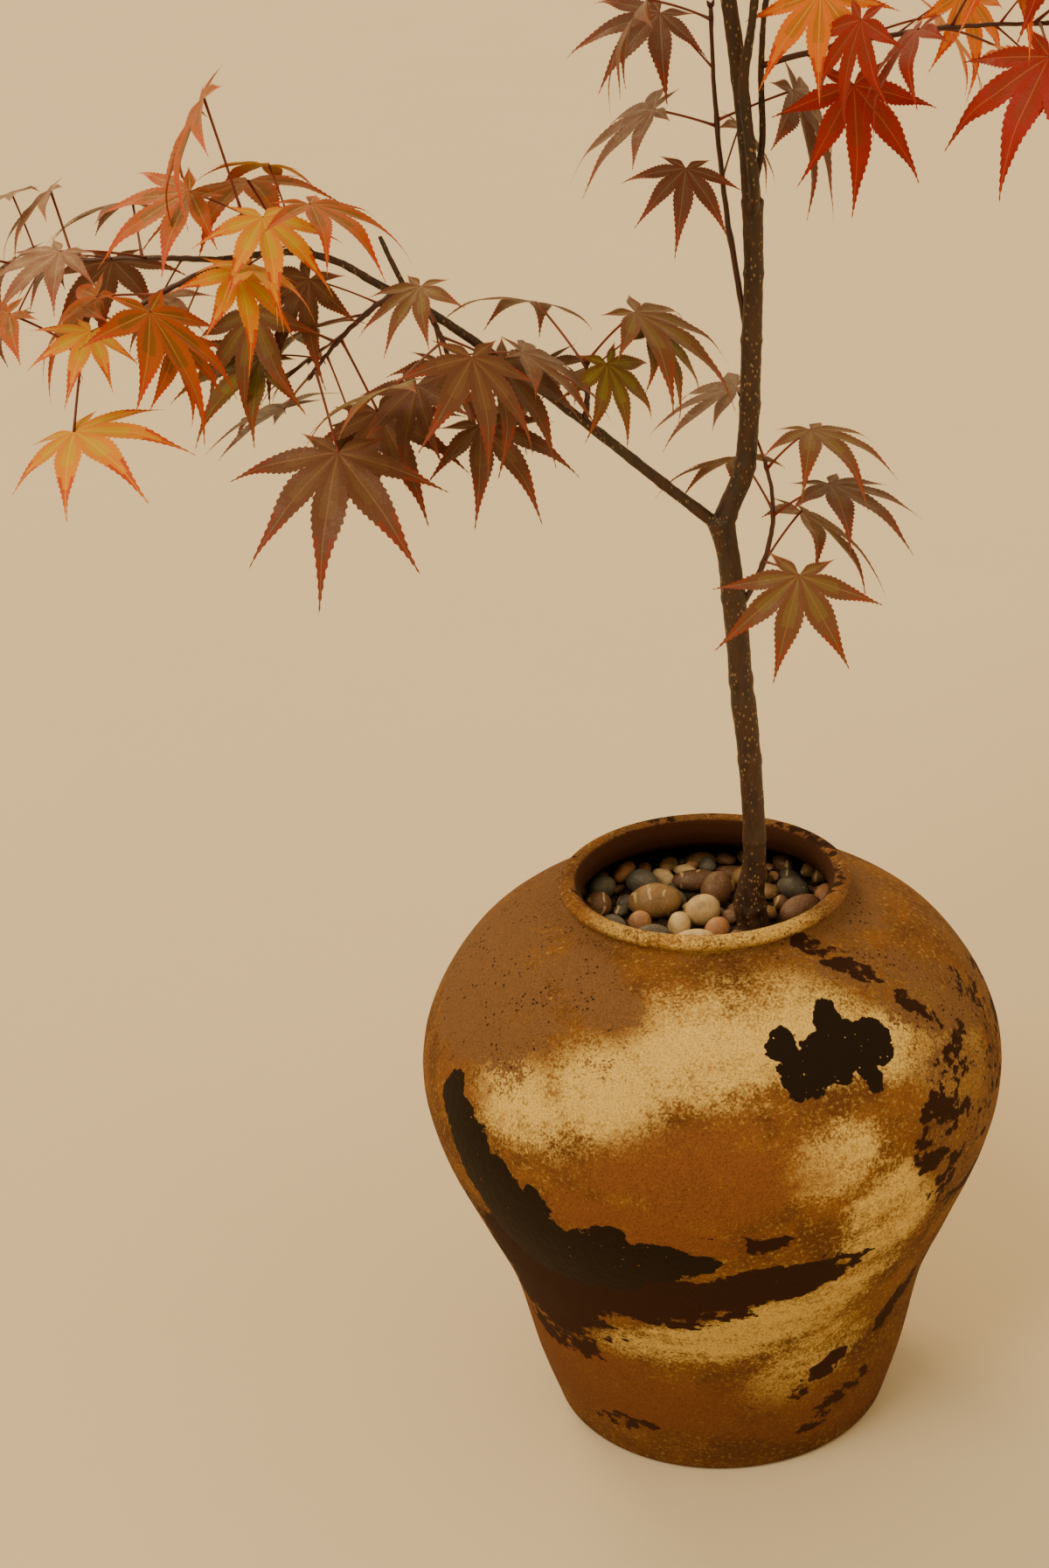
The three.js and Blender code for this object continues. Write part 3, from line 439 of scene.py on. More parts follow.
def stoneware_material(settings):
    """The jar's finish."""
    # Stoneware, hand-thrown and wood-fired: a dry, sandy ochre body under soft drifts of pale
    # ash, with smooth dark splashes whose edges are torn. Only the splashes have a dull shine
    made, tree, shader, place = new_material("mottled stoneware")
    # The drip channels hold the splashes, the umber drips and painted shade inside the neck
    wash, drip = [
        node(tree, "ShaderNodeSeparateColor", {
            0: node(tree, "ShaderNodeAttribute", attribute_name=name),
        }).outputs for name in ("wash", "drip")
    ]
    slanted = node(tree, "ShaderNodeMapping", {
        "Vector": place, "Rotation": (0, math.radians(-38), 0), "Scale": (0.35, 0.8, 1.6),
    })
    brushed = blotches(tree, slanted, 22 * MM, 0, 1, -0.5, 0.5)
    ragged = blotches(tree, place, 6 * MM, 0, 1, -0.3, 0.3)
    tear = node(tree, "ShaderNodeMath", {0: brushed, 1: ragged})
    # Ash lies in grains of about 1.5 mm, coarser than the real ones so that they show
    sandy = blotches(tree, place, 1.5 * MM, 0, 1, -0.42, 0.42, detail=2)
    frayed = node(tree, "ShaderNodeMath", {0: tear, 1: sandy})
    crisp = blotches(tree, place, 10 * MM, 0, 1, -0.36, 0.36, detail=5)
    mauve = patch(tree, wash[2], frayed, 0.36, 0.68)
    sprinkled = patch(tree, mauve, blotches(tree, place, 15 * MM, 0.42, 0.62), 1.1, 1.7)
    grain = blotches(tree, place, 0.9 * MM, 0.35, 0.7, detail=2)
    pinholes = blotches(tree, place, 2.6 * MM, 0.77, 0.73, detail=1)
    splash = node(tree, "ShaderNodeMath", {
        0: patch(tree, drip[0], crisp, 0.47, 0.5), 1: pinholes,
    }, operation="MULTIPLY")
    dry = node(tree, "ShaderNodeMapRange", {"Value": splash, "To Min": 1.0, "To Max": 0.1})
    # Painted shade: the jar darkens towards its foot, from 170 mm down
    height = node(tree, "ShaderNodeSeparateXYZ", {0: place}).outputs[2]
    foot_shade = node(tree, "ShaderNodeMapRange", {
        "Value": height, "From Min": 170 * MM, "From Max": 0, "To Min": 0, "To Max": 0.42,
    })
    dress(tree, shader, settings.clay, [
        (blotches(tree, place, 30 * MM, 0.36, 0.64, detail=6), settings.deep_clay),
        (blotches(tree, place, 2.2 * MM, 0.5, 0.78, most=0.42, detail=3), settings.straw),
        (patch(tree, wash[0], frayed, 0.2, 1.0), settings.straw),
        (patch(tree, wash[1], tear, 0.3, 1.05), settings.orange),
        (mauve, settings.mauve),
        (patch(tree, drip[1], tear, 0.44, 0.52), settings.umber),
        (pores(tree, place, 3.1 * MM, sprinkled), settings.splash),
        (blotches(tree, place, 0.9 * MM, 0.4, 0.75, most=0.5, detail=2), settings.umber),
        (splash, settings.splash),
        # Painted shade towards the foot
        (foot_shade, settings.throat),
        # Painted shade inside the neck, past the lip's rings in light
        (drip[2], settings.throat),
    ], [
        (blotches(tree, place, 5 * MM, 0, 1, detail=3), 0.5 * MM),
        (node(tree, "ShaderNodeMath", {0: grain, 1: dry}, operation="MULTIPLY"), 0.35 * MM),
    ], node(tree, "ShaderNodeMapRange", {"Value": splash, "To Min": 0.8, "To Max": 0.62}))
    feed(tree, shader, {"Specular IOR Level": 0.1})
    return made


def soil_material(settings):
    """The finish of the soil and its crumbs."""
    # Potting soil, damp peat and bark fines: nearly black, dull and crumbly
    made, tree, shader, place = new_material("damp potting soil")
    crumbs = blotches(tree, place, 2.5 * MM, 0.3, 0.75, detail=5)
    dress(tree, shader, settings.soil, [(crumbs, settings.fines)], [(crumbs, 1.2 * MM)], 0.95)
    return made


def pebble_material(kind, colour):
    """The finish of one kind of pebble."""
    # River stone, tumbled smooth by water: dull, with fine pale grains and a few veins
    made, tree, shader, place = new_material(f"{kind} river stone")
    bands = node(tree, "ShaderNodeTexWave", {
        "Vector": place, "Scale": 1 / (26 * MM), "Distortion": 7.0, "Detail": 3.0,
    })
    veins = patch(tree, bands, blotches(tree, place, 40 * MM, 0.5, 0.56), 1.88, 1.98)
    dress(tree, shader, colour, [
        (blotches(tree, place, 9 * MM, 0.4, 0.75, most=0.6, detail=5), linear("#3f2f20")),
        (blotches(tree, place, 1.2 * MM, 0.52, 0.75, most=0.3, detail=3), linear("#c4ab80")),
        (veins, linear("#b39a70")),
    ], [
        (blotches(tree, place, 1.6 * MM, 0, 1, detail=3), 0.3 * MM),
    ], blotches(tree, place, 8 * MM, 0.32, 0.68, 0.45, 0.65, 5))
    return made


def bark_material(settings):
    """The finish of the trunk and boughs."""
    # Young maple bark, thin and satiny: dark red-brown, greyed by algae in clouds, with pale
    # breathing pores
    made, tree, shader, place = new_material("young maple bark")
    along = node(tree, "ShaderNodeMapping", {"Vector": place, "Scale": (1.0, 1.0, 0.3)})
    fine = node(tree, "ShaderNodeMapping", {"Vector": place, "Scale": (1.0, 1.0, 0.6)})
    spots = pores(tree, fine, 2.0 * MM, blotches(tree, place, 16 * MM, 0.38, 0.56, detail=2))
    streaks = blotches(tree, along, 5 * MM, 0.35, 0.68, detail=5)
    rough = node(tree, "ShaderNodeMapRange", {"Value": streaks, "To Min": 0.52, "To Max": 0.7})
    dress(tree, shader, settings.dark, [
        (streaks, settings.warm),
        (blotches(tree, place, 26 * MM, 0.5, 0.7, most=0.5, detail=2), settings.algae),
        (spots, settings.speck),
    ], [
        (blotches(tree, along, 1.0 * MM, 0, 1), 0.2 * MM),
        (spots, 0.25 * MM),
    ], rough)
    return made


def shoot_material(name, colour, shade, rough):
    """The finish of this year's shoots or of the leaf stalks."""
    # Smooth, waxy young skin: it darkens in clouds and has a soft shine
    made, tree, shader, place = new_material(name)
    dress(tree, shader, colour, [
        (blotches(tree, place, 9 * MM, 0.35, 0.7, most=0.6, detail=3), shade),
    ], [(blotches(tree, place, 0.8 * MM, 0, 1, detail=2), 0.08 * MM)], rough)
    return made


def leaf_material(name, code):
    """The finish of one part of a leaf, in one plain colour."""
    # Maple leaf blade, thin and matt with a faint waxy sheen over a net of fine veins
    made, tree, shader, place = new_material(name)
    veins = node(tree, "ShaderNodeTexVoronoi", {
        "Vector": place, "Scale": 1 / (2.2 * MM),
    }, feature="DISTANCE_TO_EDGE")
    net = node(tree, "ShaderNodeMapRange", {"Value": veins, "From Max": 0.12})
    surface = node(tree, "ShaderNodeBump", {"Height": net, "Distance": 0.12 * MM, "Strength": 0.6})
    feed(tree, shader, {
        "Base Color": linear(code), "Sheen Weight": 0.05, "Specular IOR Level": 0.3,
        "Roughness": blotches(tree, place, 6 * MM, 0.3, 0.7, 0.46, 0.64, 3), "Normal": surface,
    })
    return made


def catmull_rom(points, share):
    """A point of a centripetal Catmull-Rom curve through points, at a share of its length."""
    count = len(points)
    at = (count - 1) * share
    k = int(math.floor(at))
    rest = at - k
    if rest == 0 and k == count - 1:
        k, rest = count - 2, 1.0
    one, two = points[k], points[k + 1]
    before = points[k - 1] if k > 0 else 2 * points[0] - points[1]
    after = points[k + 2] if k + 2 < count else 2 * points[-1] - points[-2]
    steps = [((b - a) ** 2).sum() ** 0.25 for a, b in ((before, one), (one, two), (two, after))]
    if steps[1] < 1e-4:
        steps[1] = 1.0
    steps = [steps[1] if s < 1e-4 else s for s in steps]
    d0, d1, d2 = steps
    start = ((one - before) / d0 - (two - before) / (d0 + d1) + (two - one) / d1) * d1
    end = ((two - one) / d1 - (after - one) / (d1 + d2) + (after - two) / d2) * d1
    return (one + start * rest + (-3 * one + 3 * two - 2 * start - end) * rest ** 2
            + (2 * one - 2 * two + start + end) * rest ** 3)


def jar_point(share):
    """A point [radius, height] of the jar's outside at a share of its courses."""
    points = np.array(JAR_OUTSIDE, float)
    last = len(points) - 1
    at = last * share
    k = min(int(at), last)
    p0, p1 = points[max(k - 1, 0)], points[k]
    p2, p3 = points[min(k + 1, last)], points[min(k + 2, last)]
    v0, v1 = (p2 - p0) / 2, (p3 - p1) / 2
    t = at - k
    return (p1 + v0 * t + (-3 * p1 + 3 * p2 - 2 * v0 - v1) * t ** 2
            + (2 * p1 - 2 * p2 + v0 + v1) * t ** 3)


def limb_path(stations, rings):
    """A limb's middle line and radii at its rings."""
    points = np.array([s[:3] for s in stations], float)
    path, radii = [], []
    for i in range(rings + 1):
        at = i / rings * (len(stations) - 1)
        k = min(int(at), len(stations) - 2)
        path.append(catmull_rom(points, i / rings))
        radii.append((stations[k][3] * (1 - at + k) + stations[k + 1][3] * (at - k)) / 2)
    return np.array(path), np.array(radii)


def between(ends, share):
    """A value between two ends at a share."""
    return ends[0] + (ends[1] - ends[0]) * share


def high_turn(i):
    """The way round the leader, in radians, that a bough above takes."""
    return math.radians(HIGH_FIRST_TURN + TURN_BETWEEN_BOUGHS * i)


def high_limbs():
    """The boughs above, which leave the leader in turn round it, each shorter than the last."""
    leader = limb_path(LIMBS["leader_upper"][1], LIMBS["leader_upper"][0])[0]
    made = {}
    for i in range(HIGH_BOUGHS):
        share = i / (HIGH_BOUGHS - 1)
        height, reach = between(HIGH_HEIGHTS, share), between(HIGH_REACHES, share)
        k = int(np.argmax(leader[:, 2] > height))
        blend = (height - leader[k - 1][2]) / (leader[k][2] - leader[k - 1][2])
        root = between(leader[k - 1:k + 1], blend)
        stations = []
        for along in (0, 0.33, 0.66, 1):
            rise = HIGH_RISE * reach * (along - HIGH_BEND * along * along)
            stations.append([root[0] + reach * along * math.cos(high_turn(i)),
                             root[1] + reach * along * math.sin(high_turn(i)), root[2] + rise,
                             between(HIGH_DIAMETERS, along)])
        made[f"high_bough_{i + 1}"] = (HIGH_RINGS, stations)
    return made


def dice(seed):
    """The same numbers from 0 to 1 in the same order every time."""
    state = (seed * 48271 + 11) % 2147483647
    while True:
        state = (state * 16807) % 2147483647
        yield state / 2147483647


def dealt(deal, roll):
    return deal[0] + deal[1] * next(roll)


def unit(way):
    return way / (np.linalg.norm(way) or 1)


def turned(way, axis, angle):
    """A direction turned about an axis."""
    return (way * math.cos(angle) + np.cross(axis, way) * math.sin(angle)
            + axis * axis.dot(way) * (1 - math.cos(angle)))


def bowed(root, reach, bow, steps):
    """A twig's path, which bows aside between its root and its tip."""
    t = np.linspace(0, 1, steps + 1)[:, None]
    middle = root + 0.5 * reach + bow
    return (1 - t) ** 2 * root + 2 * t * (1 - t) * middle + t ** 2 * (root + reach)


def path_at(path, share):
    """A point and the way of a path at a share of its steps."""
    at = share * (len(path) - 1)
    k = min(int(at), len(path) - 2)
    return path[k] + (path[k + 1] - path[k]) * (at - k), unit(path[k + 1] - path[k])


def apart(a, b, c, d):
    """Shortest distances between the stretches a-b and c-d."""
    u, v, w = b - a, d - c, a - c
    uu, uv, vv = (u * u).sum(-1), (u * v).sum(-1), (v * v).sum(-1)
    uw, vw = (u * w).sum(-1), (v * w).sum(-1)
    flat = uu * vv - uv * uv
    open_angle = flat > 1e-9
    s = np.where(open_angle,
                 np.clip((uv * vw - vv * uw) / np.where(open_angle, flat, 1), 0, 1), 0)
    t = np.clip((uv * s + vw) / np.maximum(vv, 1e-9), 0, 1)
    s = np.clip((uv * t - uw) / np.maximum(uu, 1e-9), 0, 1)
    return np.linalg.norm(a + u * s[..., None] - c - v * t[..., None], axis=-1)


def leaf_frame(root, out, roll, size_scale, leaf_length):
    """A leaf: its palm, the way of its middle lobe, its face's normal, its side and size."""
    petiole = leaf_length * dealt(PETIOLE_DEAL, roll)
    swing, droop = dealt(SWING_DEAL, roll), dealt(DROOP_DEAL, roll)
    lean = dealt(LEAN_DEAL, roll)
    size = leaf_length * dealt(SIZE_DEAL, roll) * size_scale
    level = unit(unit(np.array([out[0], out[1], 0])) + LIGHT_SHARE * LIGHT)
    level = turned(level, UP, swing)
    way = level * math.cos(droop) - UP * math.sin(droop)
    normal = turned(unit(UP - UP.dot(way) * way), way, lean)
    palm = root + out * petiole * size_scale
    side = np.cross(way, normal)
    turns = np.radians(LOBE_TURNS)[:, None]
    shares = LOBE_SHARES[:, None]
    tips = palm + size * (shares * (np.cos(turns) * way + np.sin(turns) * side)
                          - LEAF_CURL * shares ** 2 * normal)
    return {"root": root, "palm": palm, "way": way, "normal": normal, "side": side,
            "size": size, "tips": tips, "middle": palm + way * size * LEAF_MIDDLE}


class Growth:
    """The limbs, twigs and leaves that have grown, kept as arrays for the fit tests."""

    def __init__(self, limbs, sprays):
        self.limb_starts = np.concatenate([path[:-1] for path, _ in limbs.values()])
        self.limb_ends = np.concatenate([path[1:] for path, _ in limbs.values()])
        self.limb_radii = np.concatenate([radii[1:] for _, radii in limbs.values()])
        twigs = [(i, twig["path"]) for i, spray in enumerate(sprays) for twig in spray["grown"]]
        self.twig_starts = np.concatenate([path[:-1] for _, path in twigs])
        self.twig_ends = np.concatenate([path[1:] for _, path in twigs])
        self.twig_owners = np.concatenate([[i] * (len(path) - 1) for i, path in twigs])
        self.leaves = []
        self.middles, self.roots, self.palms = np.zeros((3, 0, 3))
        self.sizes, self.owners = np.zeros((2, 0))
        self.tips = np.zeros((0, len(LOBE_TURNS), 3))

    def add(self, leaf, owner):
        self.leaves.append(leaf)
        self.middles = np.vstack([self.middles, leaf["middle"]])
        self.sizes = np.append(self.sizes, leaf["size"])
        self.roots = np.vstack([self.roots, leaf["root"]])
        self.palms = np.vstack([self.palms, leaf["palm"]])
        self.tips = np.concatenate([self.tips, leaf["tips"][None]])
        self.owners = np.append(self.owners, owner)

    def fits(self, leaf, owner, stem, reach, finer):
        """True if a leaf keeps to its spray's room and clears limbs, twigs and leaves."""
        tips, palm, root = leaf["tips"], leaf["palm"], leaf["root"]
        if (apart(tips, tips, stem[0], stem[-1]) > reach).any():
            return False
        ribs = tips[:, None]
        own = self.twig_owners == owner
        room = np.where(own, TWIG_ROOM, NEXT_FINER_ROOM if finer else NEXT_SPRAY_ROOM)
        if (apart(palm, ribs, self.twig_starts, self.twig_ends) < room).any():
            return False
        gaps = apart(root, palm, self.twig_starts, self.twig_ends)
        if (gaps[~own] < PETIOLE_TWIG_ROOM).any():
            return False
        near = (np.linalg.norm(self.middles - leaf["middle"], axis=1)
                <= LEAF_BALL * (leaf["size"] + self.sizes))
        if near.any() and self.meets_leaves(leaf, near, owner, finer):
            return False
        outer = root + (palm - root) * LEAF_MIDDLE
        starts, ends = self.limb_starts, self.limb_ends
        if (apart(outer, palm, starts, ends) < self.limb_radii + PETIOLE_LIMB_ROOM).any():
            return False
        return not (apart(palm, ribs, starts, ends) < self.limb_radii + LIMB_ROOM).any()

    def meets_leaves(self, leaf, near, owner, finer):
        roots, palms, tips = self.roots[near], self.palms[near], self.tips[near]
        own = self.owners[near] == owner
        room = (np.where(own, FINER_ROOM, NEXT_FINER_ROOM) if finer
                else np.where(own, SPRAY_ROOM, NEXT_SPRAY_ROOM))
        root, palm, ribs = leaf["root"], leaf["palm"], leaf["tips"][:, None]
        if (apart(root, palm, roots[~own], palms[~own]) < PETIOLE_TWIG_ROOM).any():
            return True
        if (apart(palm, ribs, roots, palms) < room / 2).any():
            return True
        others = palms[:, None]
        if (apart(root, palm, others, tips) < room[:, None] / 2).any():
            return True
        gaps = apart(palm, ribs[:, None], others, tips)
        return (gaps < room[:, None]).any()

    def takes_twig(self, path, owner):
        """Keeps a finer twig, and says so, if it clears the leaves, limbs and other twigs."""
        for start, end in zip(path[:-1], path[1:]):
            if (apart(start, end, self.palms[:, None], self.tips) < FINE_ROOM).any():
                return False
            if (apart(start, end, self.limb_starts, self.limb_ends)
                    < self.limb_radii + FINE_ROOM).any():
                return False
        outer = apart(path[-2], path[-1], self.twig_starts, self.twig_ends)
        if (outer < FINE_ROOM).any():
            return False
        self.twig_starts = np.vstack([self.twig_starts, path[:-1]])
        self.twig_ends = np.vstack([self.twig_ends, path[1:]])
        self.twig_owners = np.append(self.twig_owners, [owner] * (len(path) - 1))
        return True


def spray_twigs(spray, limbs):
    """The stem of a spray and its side twigs, which leave it in pairs."""
    roll = dice(spray["seed"])
    path, radii = limbs[spray["limb"]]
    root, way = path_at(path, spray["at"])
    thick = STEM_THICK
    if spray["at"] == 1:
        thick = radii[-1]
        root = root - way * thick
    reach = np.array(spray["reach"], float)
    stem = {"path": bowed(root, reach, np.array(spray["bow"], float), 5), "thick": thick}
    twigs = [stem]
    for k in range(1, spray["twigs"] + 1):
        point, along = path_at(stem["path"], k / spray["pairs"])
        level = unit(np.cross(along, UP))
        for side in (-1, 1):
            out = along * dealt(TWIG_FORWARD_DEAL, roll)
            out = out + level * side + UP * dealt(TWIG_RISE_DEAL, roll)
            out = unit(out) * np.linalg.norm(reach) * (TWIG_LENGTH - TWIG_SHORTER * k)
            twigs.append({"path": bowed(point + along * side * ROOT_OFFSET, out, UP * TWIG_BOW, 2),
                          "thick": TWIG_THICK})
    return twigs


def leaf_roots(spray, level):
    """Where a spray's leaves are rooted; finer levels stand between the nodes of the first."""
    roots = []
    for index, twig in enumerate(spray["grown"]):
        pairs = spray["pairs"] if index == 0 else TWIG_PAIRS
        bare = max(spray["twigs"], BARE_NODES.get(spray["name"], 0)) if index == 0 else 0
        for pair in range(bare + 1, pairs + 1):
            share = LAST_NODE if pair == pairs else pair / pairs
            if level:
                share = (pair - FINER_SHARES[level]) / pairs
            point, way = path_at(twig["path"], share)
            for side in (-1, 1):
                upright = (pair % 2 == 0) != (level == 1)
                roots.append((point + way * side * ROOT_OFFSET, way, side, upright))
    return roots


def grow_fine_twigs(growth, spray, owner):
    """Finer twigs on the side twigs of a spray, and where their own leaves are rooted."""
    roll = dice(spray["seed"] + FINER_SEED)
    roots = []
    for twig in spray["grown"][1:]:
        for share in FINE_SHARES:
            point, way = path_at(twig["path"], share)
            level = unit(np.cross(way, UP))
            for side in (-1, 1):
                out = way * dealt(FINE_FORWARD_DEAL, roll)
                out = out + level * side + UP * dealt(FINE_RISE_DEAL, roll)
                out = unit(out) * dealt(FINE_REACH_DEAL, roll)
                path = bowed(point + way * side * ROOT_OFFSET, out, UP, 2)
                if not growth.takes_twig(path, owner):
                    continue
                spray["fine_twigs"].append(path)
                for pair in (1, 2):
                    root, along = path_at(path, LAST_NODE if pair == 2 else 0.5)
                    roots += [(root + along * turn, along, turn, pair == 1) for turn in (-1, 1)]
    return roots


def grow_leaves(growth, spray, owner, finer, roots):
    """Tries each leaf of a spray a few times at its node and leaves out what never fits."""
    for index, (point, way, side, upright) in enumerate(roots):
        start = index + FINER_SEED * finer
        roll = dice(spray["seed"] * SEEDS_PER_SPRAY + start)
        level = unit(np.cross(way, UP))
        lift = np.cross(level, way)
        for _ in range(FINER_TRIES if finer else LEAF_TRIES):
            angle = dealt(UPRIGHT_ANGLE_DEAL if upright else LEVEL_ANGLE_DEAL, roll)
            out = level * side * math.cos(angle)
            out = out + lift * math.sin(angle) * (side if upright else 1)
            out = unit(out + way * dealt(FORWARD_DEAL, roll))
            leaf = leaf_frame(point, out, roll, LEVEL_SIZES[finer], spray["leaf"])
            stem = spray["grown"][0]["path"]
            if growth.fits(leaf, owner, stem, SPRAY_REACH * spray["leaf"], finer):
                leaf["spray"], leaf["finer"] = spray, finer
                growth.add(leaf, owner)
                break


def grow_plant():
    """Grows the whole plant once: its limbs, its sprays with their twigs, and its leaves."""
    stations = {**LIMBS, **high_limbs()}
    limbs = {name: limb_path(points, rings) for name, (rings, points) in stations.items()}
    rows = list(SPRAYS)
    for i, tint in enumerate(HIGH_TINTS):
        way = unit(np.array([math.cos(high_turn(i)), math.sin(high_turn(i)), HIGH_STEM_RISE]))
        rows.append((f"high_{i + 1}", f"high_bough_{i + 1}", 1, way * HIGH_STEM_REACH,
                     HIGH_STEM_BOW, 3, 2, HIGH_LEAF, HIGH_SEED + i, tint))
    sprays = [dict(zip(SPRAY_KEYS, row), name=f"spray_{row[0]}", fine_twigs=[]) for row in rows]
    for spray in sprays:
        spray["grown"] = spray_twigs(spray, limbs)
    growth = Growth(limbs, sprays)
    for finer in range(FINE_TWIG_LEVEL):
        for owner, spray in enumerate(sprays):
            if finer == 0 or (spray["twigs"] or finer == 1) and spray["name"] not in BARE_SPRAYS:
                grow_leaves(growth, spray, owner, finer, leaf_roots(spray, finer))
    for owner, spray in enumerate(sprays):
        roots = grow_fine_twigs(growth, spray, owner)
        grow_leaves(growth, spray, owner, FINE_TWIG_LEVEL, roots)
    return stations, sprays, growth


def joined(name, vertices, faces, materials, bands=None, smooth=True):
    """A piece made from arrays: its corners in mm, its faces, and each face's material."""
    mesh = bpy.data.meshes.new(name)
    mesh.from_pydata((np.asarray(vertices) * MM).tolist(), [], faces)
    for made in materials:
        mesh.materials.append(made)
    if bands is not None:
        mesh.polygons.foreach_set("material_index", np.asarray(bands, np.int32))
    mesh.polygons.foreach_set("use_smooth", np.full(len(mesh.polygons), smooth))
    mesh.update()
    piece = bpy.data.objects.new(name, mesh)
    bpy.context.scene.collection.objects.link(piece)
    return piece


def corners_of(mesh, kind="co"):
    """A mesh's corners, or their normals, as an array."""
    values = np.zeros(len(mesh.vertices) * 3)
    mesh.vertices.foreach_get(kind, values)
    return values.reshape(-1, 3)


def only(piece):
    """Leaves one piece selected and active."""
    bpy.ops.object.select_all(action="DESELECT")
    piece.select_set(True)
    bpy.context.view_layer.objects.active = piece


def settle(piece, name, slot, *nodes):
    """Names a finished piece, lets it ride and hides the solids that it stands for; its slot is
    not used.
    """
    piece.name = name
    piece.data.name = name
    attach(piece, "root")
    if nodes:
        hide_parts(*nodes)


def tube(path, radii, sides):
    """Corners and faces of a closed tube along a path, with pointed ends closed by fans."""
    ways = np.gradient(path, axis=0)
    ways /= np.linalg.norm(ways, axis=1)[:, None]
    across = np.array([1.0, 0, 0]) if abs(ways[0][0]) < 0.8 else np.array([0, 1.0, 0])
    turns = np.arange(sides) * 2 * math.pi / sides
    rings = []
    for point, way, radius in zip(path, ways, radii):
        across = unit(across - across.dot(way) * way)
        third = np.cross(way, across)
        rings.append(point + radius * (np.cos(turns)[:, None] * across
                                       + np.sin(turns)[:, None] * third))
    corners = np.vstack(rings + [path[:1], path[-1:]])
    faces = []
    last = (len(path) - 1) * sides
    for i in range(0, last, sides):
        for side in range(sides):
            a, b = i + side, i + (side + 1) % sides
            faces.append((a, b, b + sides, a + sides))
    for side in range(sides):
        following = (side + 1) % sides
        faces.append((following, side, len(corners) - 2))
        faces.append((last + side, last + following, len(corners) - 1))
    return corners, faces


def gathered(parts):
    """Many corners and faces as one set."""
    corners, faces, count = [], [], 0
    for some, shapes in parts:
        corners.append(some)
        faces.extend(tuple(c + count for c in face) for face in shapes)
        count += len(some)
    return np.vstack(corners), faces


def jar_profile():
    """The jar's whole section from the middle of its underside to the middle of its floor."""
    foot = JAR_OUTSIDE[0][0]
    flat = foot - FOOT_CHAMFER
    profile = [[4, 0], [foot * 0.6, 0], [flat - 3, 0], [flat, 0.2], [foot - 1.2, 1.2]]
    profile += [list(jar_point(i / OUTSIDE_RINGS)) for i in range(OUTSIDE_RINGS + 1)]
    lip = np.array([JAR_OUTSIDE[-1]] + JAR_LIP, float)
    profile += [list(catmull_rom(lip, i / LIP_RINGS)) for i in range(1, LIP_RINGS + 1)]
    inner = []
    for i in range(INSIDE_RINGS + 1):
        share = i / INSIDE_RINGS
        along = unit(jar_point(min(share + 1e-4, 1)) - jar_point(max(share - 1e-4, 0)))
        radius, height = jar_point(share)
        radius, height = radius - along[1] * JAR_THICKNESS, height + along[0] * JAR_THICKNESS
        if JAR_FLOOR + 4 < height < NECK_HEIGHT:
            inner.append([radius, height])
    inner.insert(0, [inner[0][0] - 4, JAR_FLOOR])
    return profile + inner[::-1] + [[40, JAR_FLOOR], [4, JAR_FLOOR]]


# Where washes and drips lie on the jar: degrees round from the front, height, half width
# and half height in mm, tilt in degrees, and how deep the patch gets: 0.5 leaves it broken
WASHES = {
    "straw": [
        (-42, 238, 36, 19, -4, 1), (-24, 248, 34, 20, 0, 1), (0, 266, 46, 18, 4, 1),
        (24, 268, 42, 17, -4, 1), (42, 258, 20, 15, 0, 0.9), (22, 216, 26, 16, 20, 0.7),
        (34, 184, 24, 18, 20, 0.74), (36, 162, 34, 20, 34, 0.74), (14, 116, 58, 22, 26, 0.8),
        (-12, 98, 44, 14, 10, 0.7), (24, 76, 34, 18, 36, 0.62), (58, 240, 30, 30, 0, 0.6),
        (0, 302, 60, 6, 0, 0.62),
    ],
    "orange": [
        (-2, 212, 60, 30, 0, 1), (-14, 186, 54, 20, -10, 1), (-50, 50, 130, 34, 0, 0.95),
        (60, 30, 120, 18, 0, 0.8), (-60, 232, 30, 12, 0, 0.7),
    ],
    "mauve": [
        (-74, 264, 80, 27, -4, 1), (-36, 282, 34, 8, -12, 0.9), (62, 262, 44, 18, -30, 0.66),
        (92, 236, 30, 30, 0, 0.6), (180, 294, 196, 12, 0, 0.84), (58, 204, 34, 44, 30, 0.62),
    ],
}
DRIPS = {
    "splash": [
        (-61, 220, 10, 14, 0, 1), (-54, 204, 20, 17, -25, 1), (-47, 184, 29, 23, -30, 1),
        (-40, 164, 36, 24, -25, 1), (-26, 159, 30, 20, -4, 1), (-13, 164, 22, 13, 6, 1),
        (-3, 165, 11, 7, 0, 1), (-21, 178, 10, 8, 30, 1), (-36, 188, 7, 9, 0, 1),
        (28, 260, 18, 11, 6, 1), (20, 256, 12, 10, 30, 1), (30, 270, 9, 8, 60, 1),
        (38, 260, 12, 9, -10, 1), (35, 247, 4, 7, 0, 1), (16, 268, 9, 5, 20, 1),
    ],
    "umber": [
        (-46, 126, 46, 30, -30, 0.9), (-20, 136, 56, 19, -4, 1), (8, 145, 44, 14, 12, 0.85),
        (22, 143, 26, 8, 24, 0.8), (-50, 96, 30, 30, 0, 0.6), (62, 198, 40, 38, 40, 0.42),
        (46, 214, 20, 12, 60, 0.5), (84, 236, 26, 28, 0, 0.42), (50, 278, 26, 6, -48, 0.48),
        (150, 301, 90, 9, 0, 0.46), (-112, 301, 60, 8, 0, 0.46), (36, 36, 24, 9, 30, 0.58),
        (-30, 26, 24, 8, 0, 0.56), (56, 96, 24, 10, 50, 0.58), (28, 64, 20, 7, 40, 0.56),
        (-4, 196, 20, 20, 0, 0.3), (10, 176, 12, 6, 10, 0.5),
    ],
}


# The broad patches below the neck come again behind, mirrored, a little lower and smaller
BACK_TURN = 172
BACK_SHRINK = 0.88
LEAST_BEHIND = 20


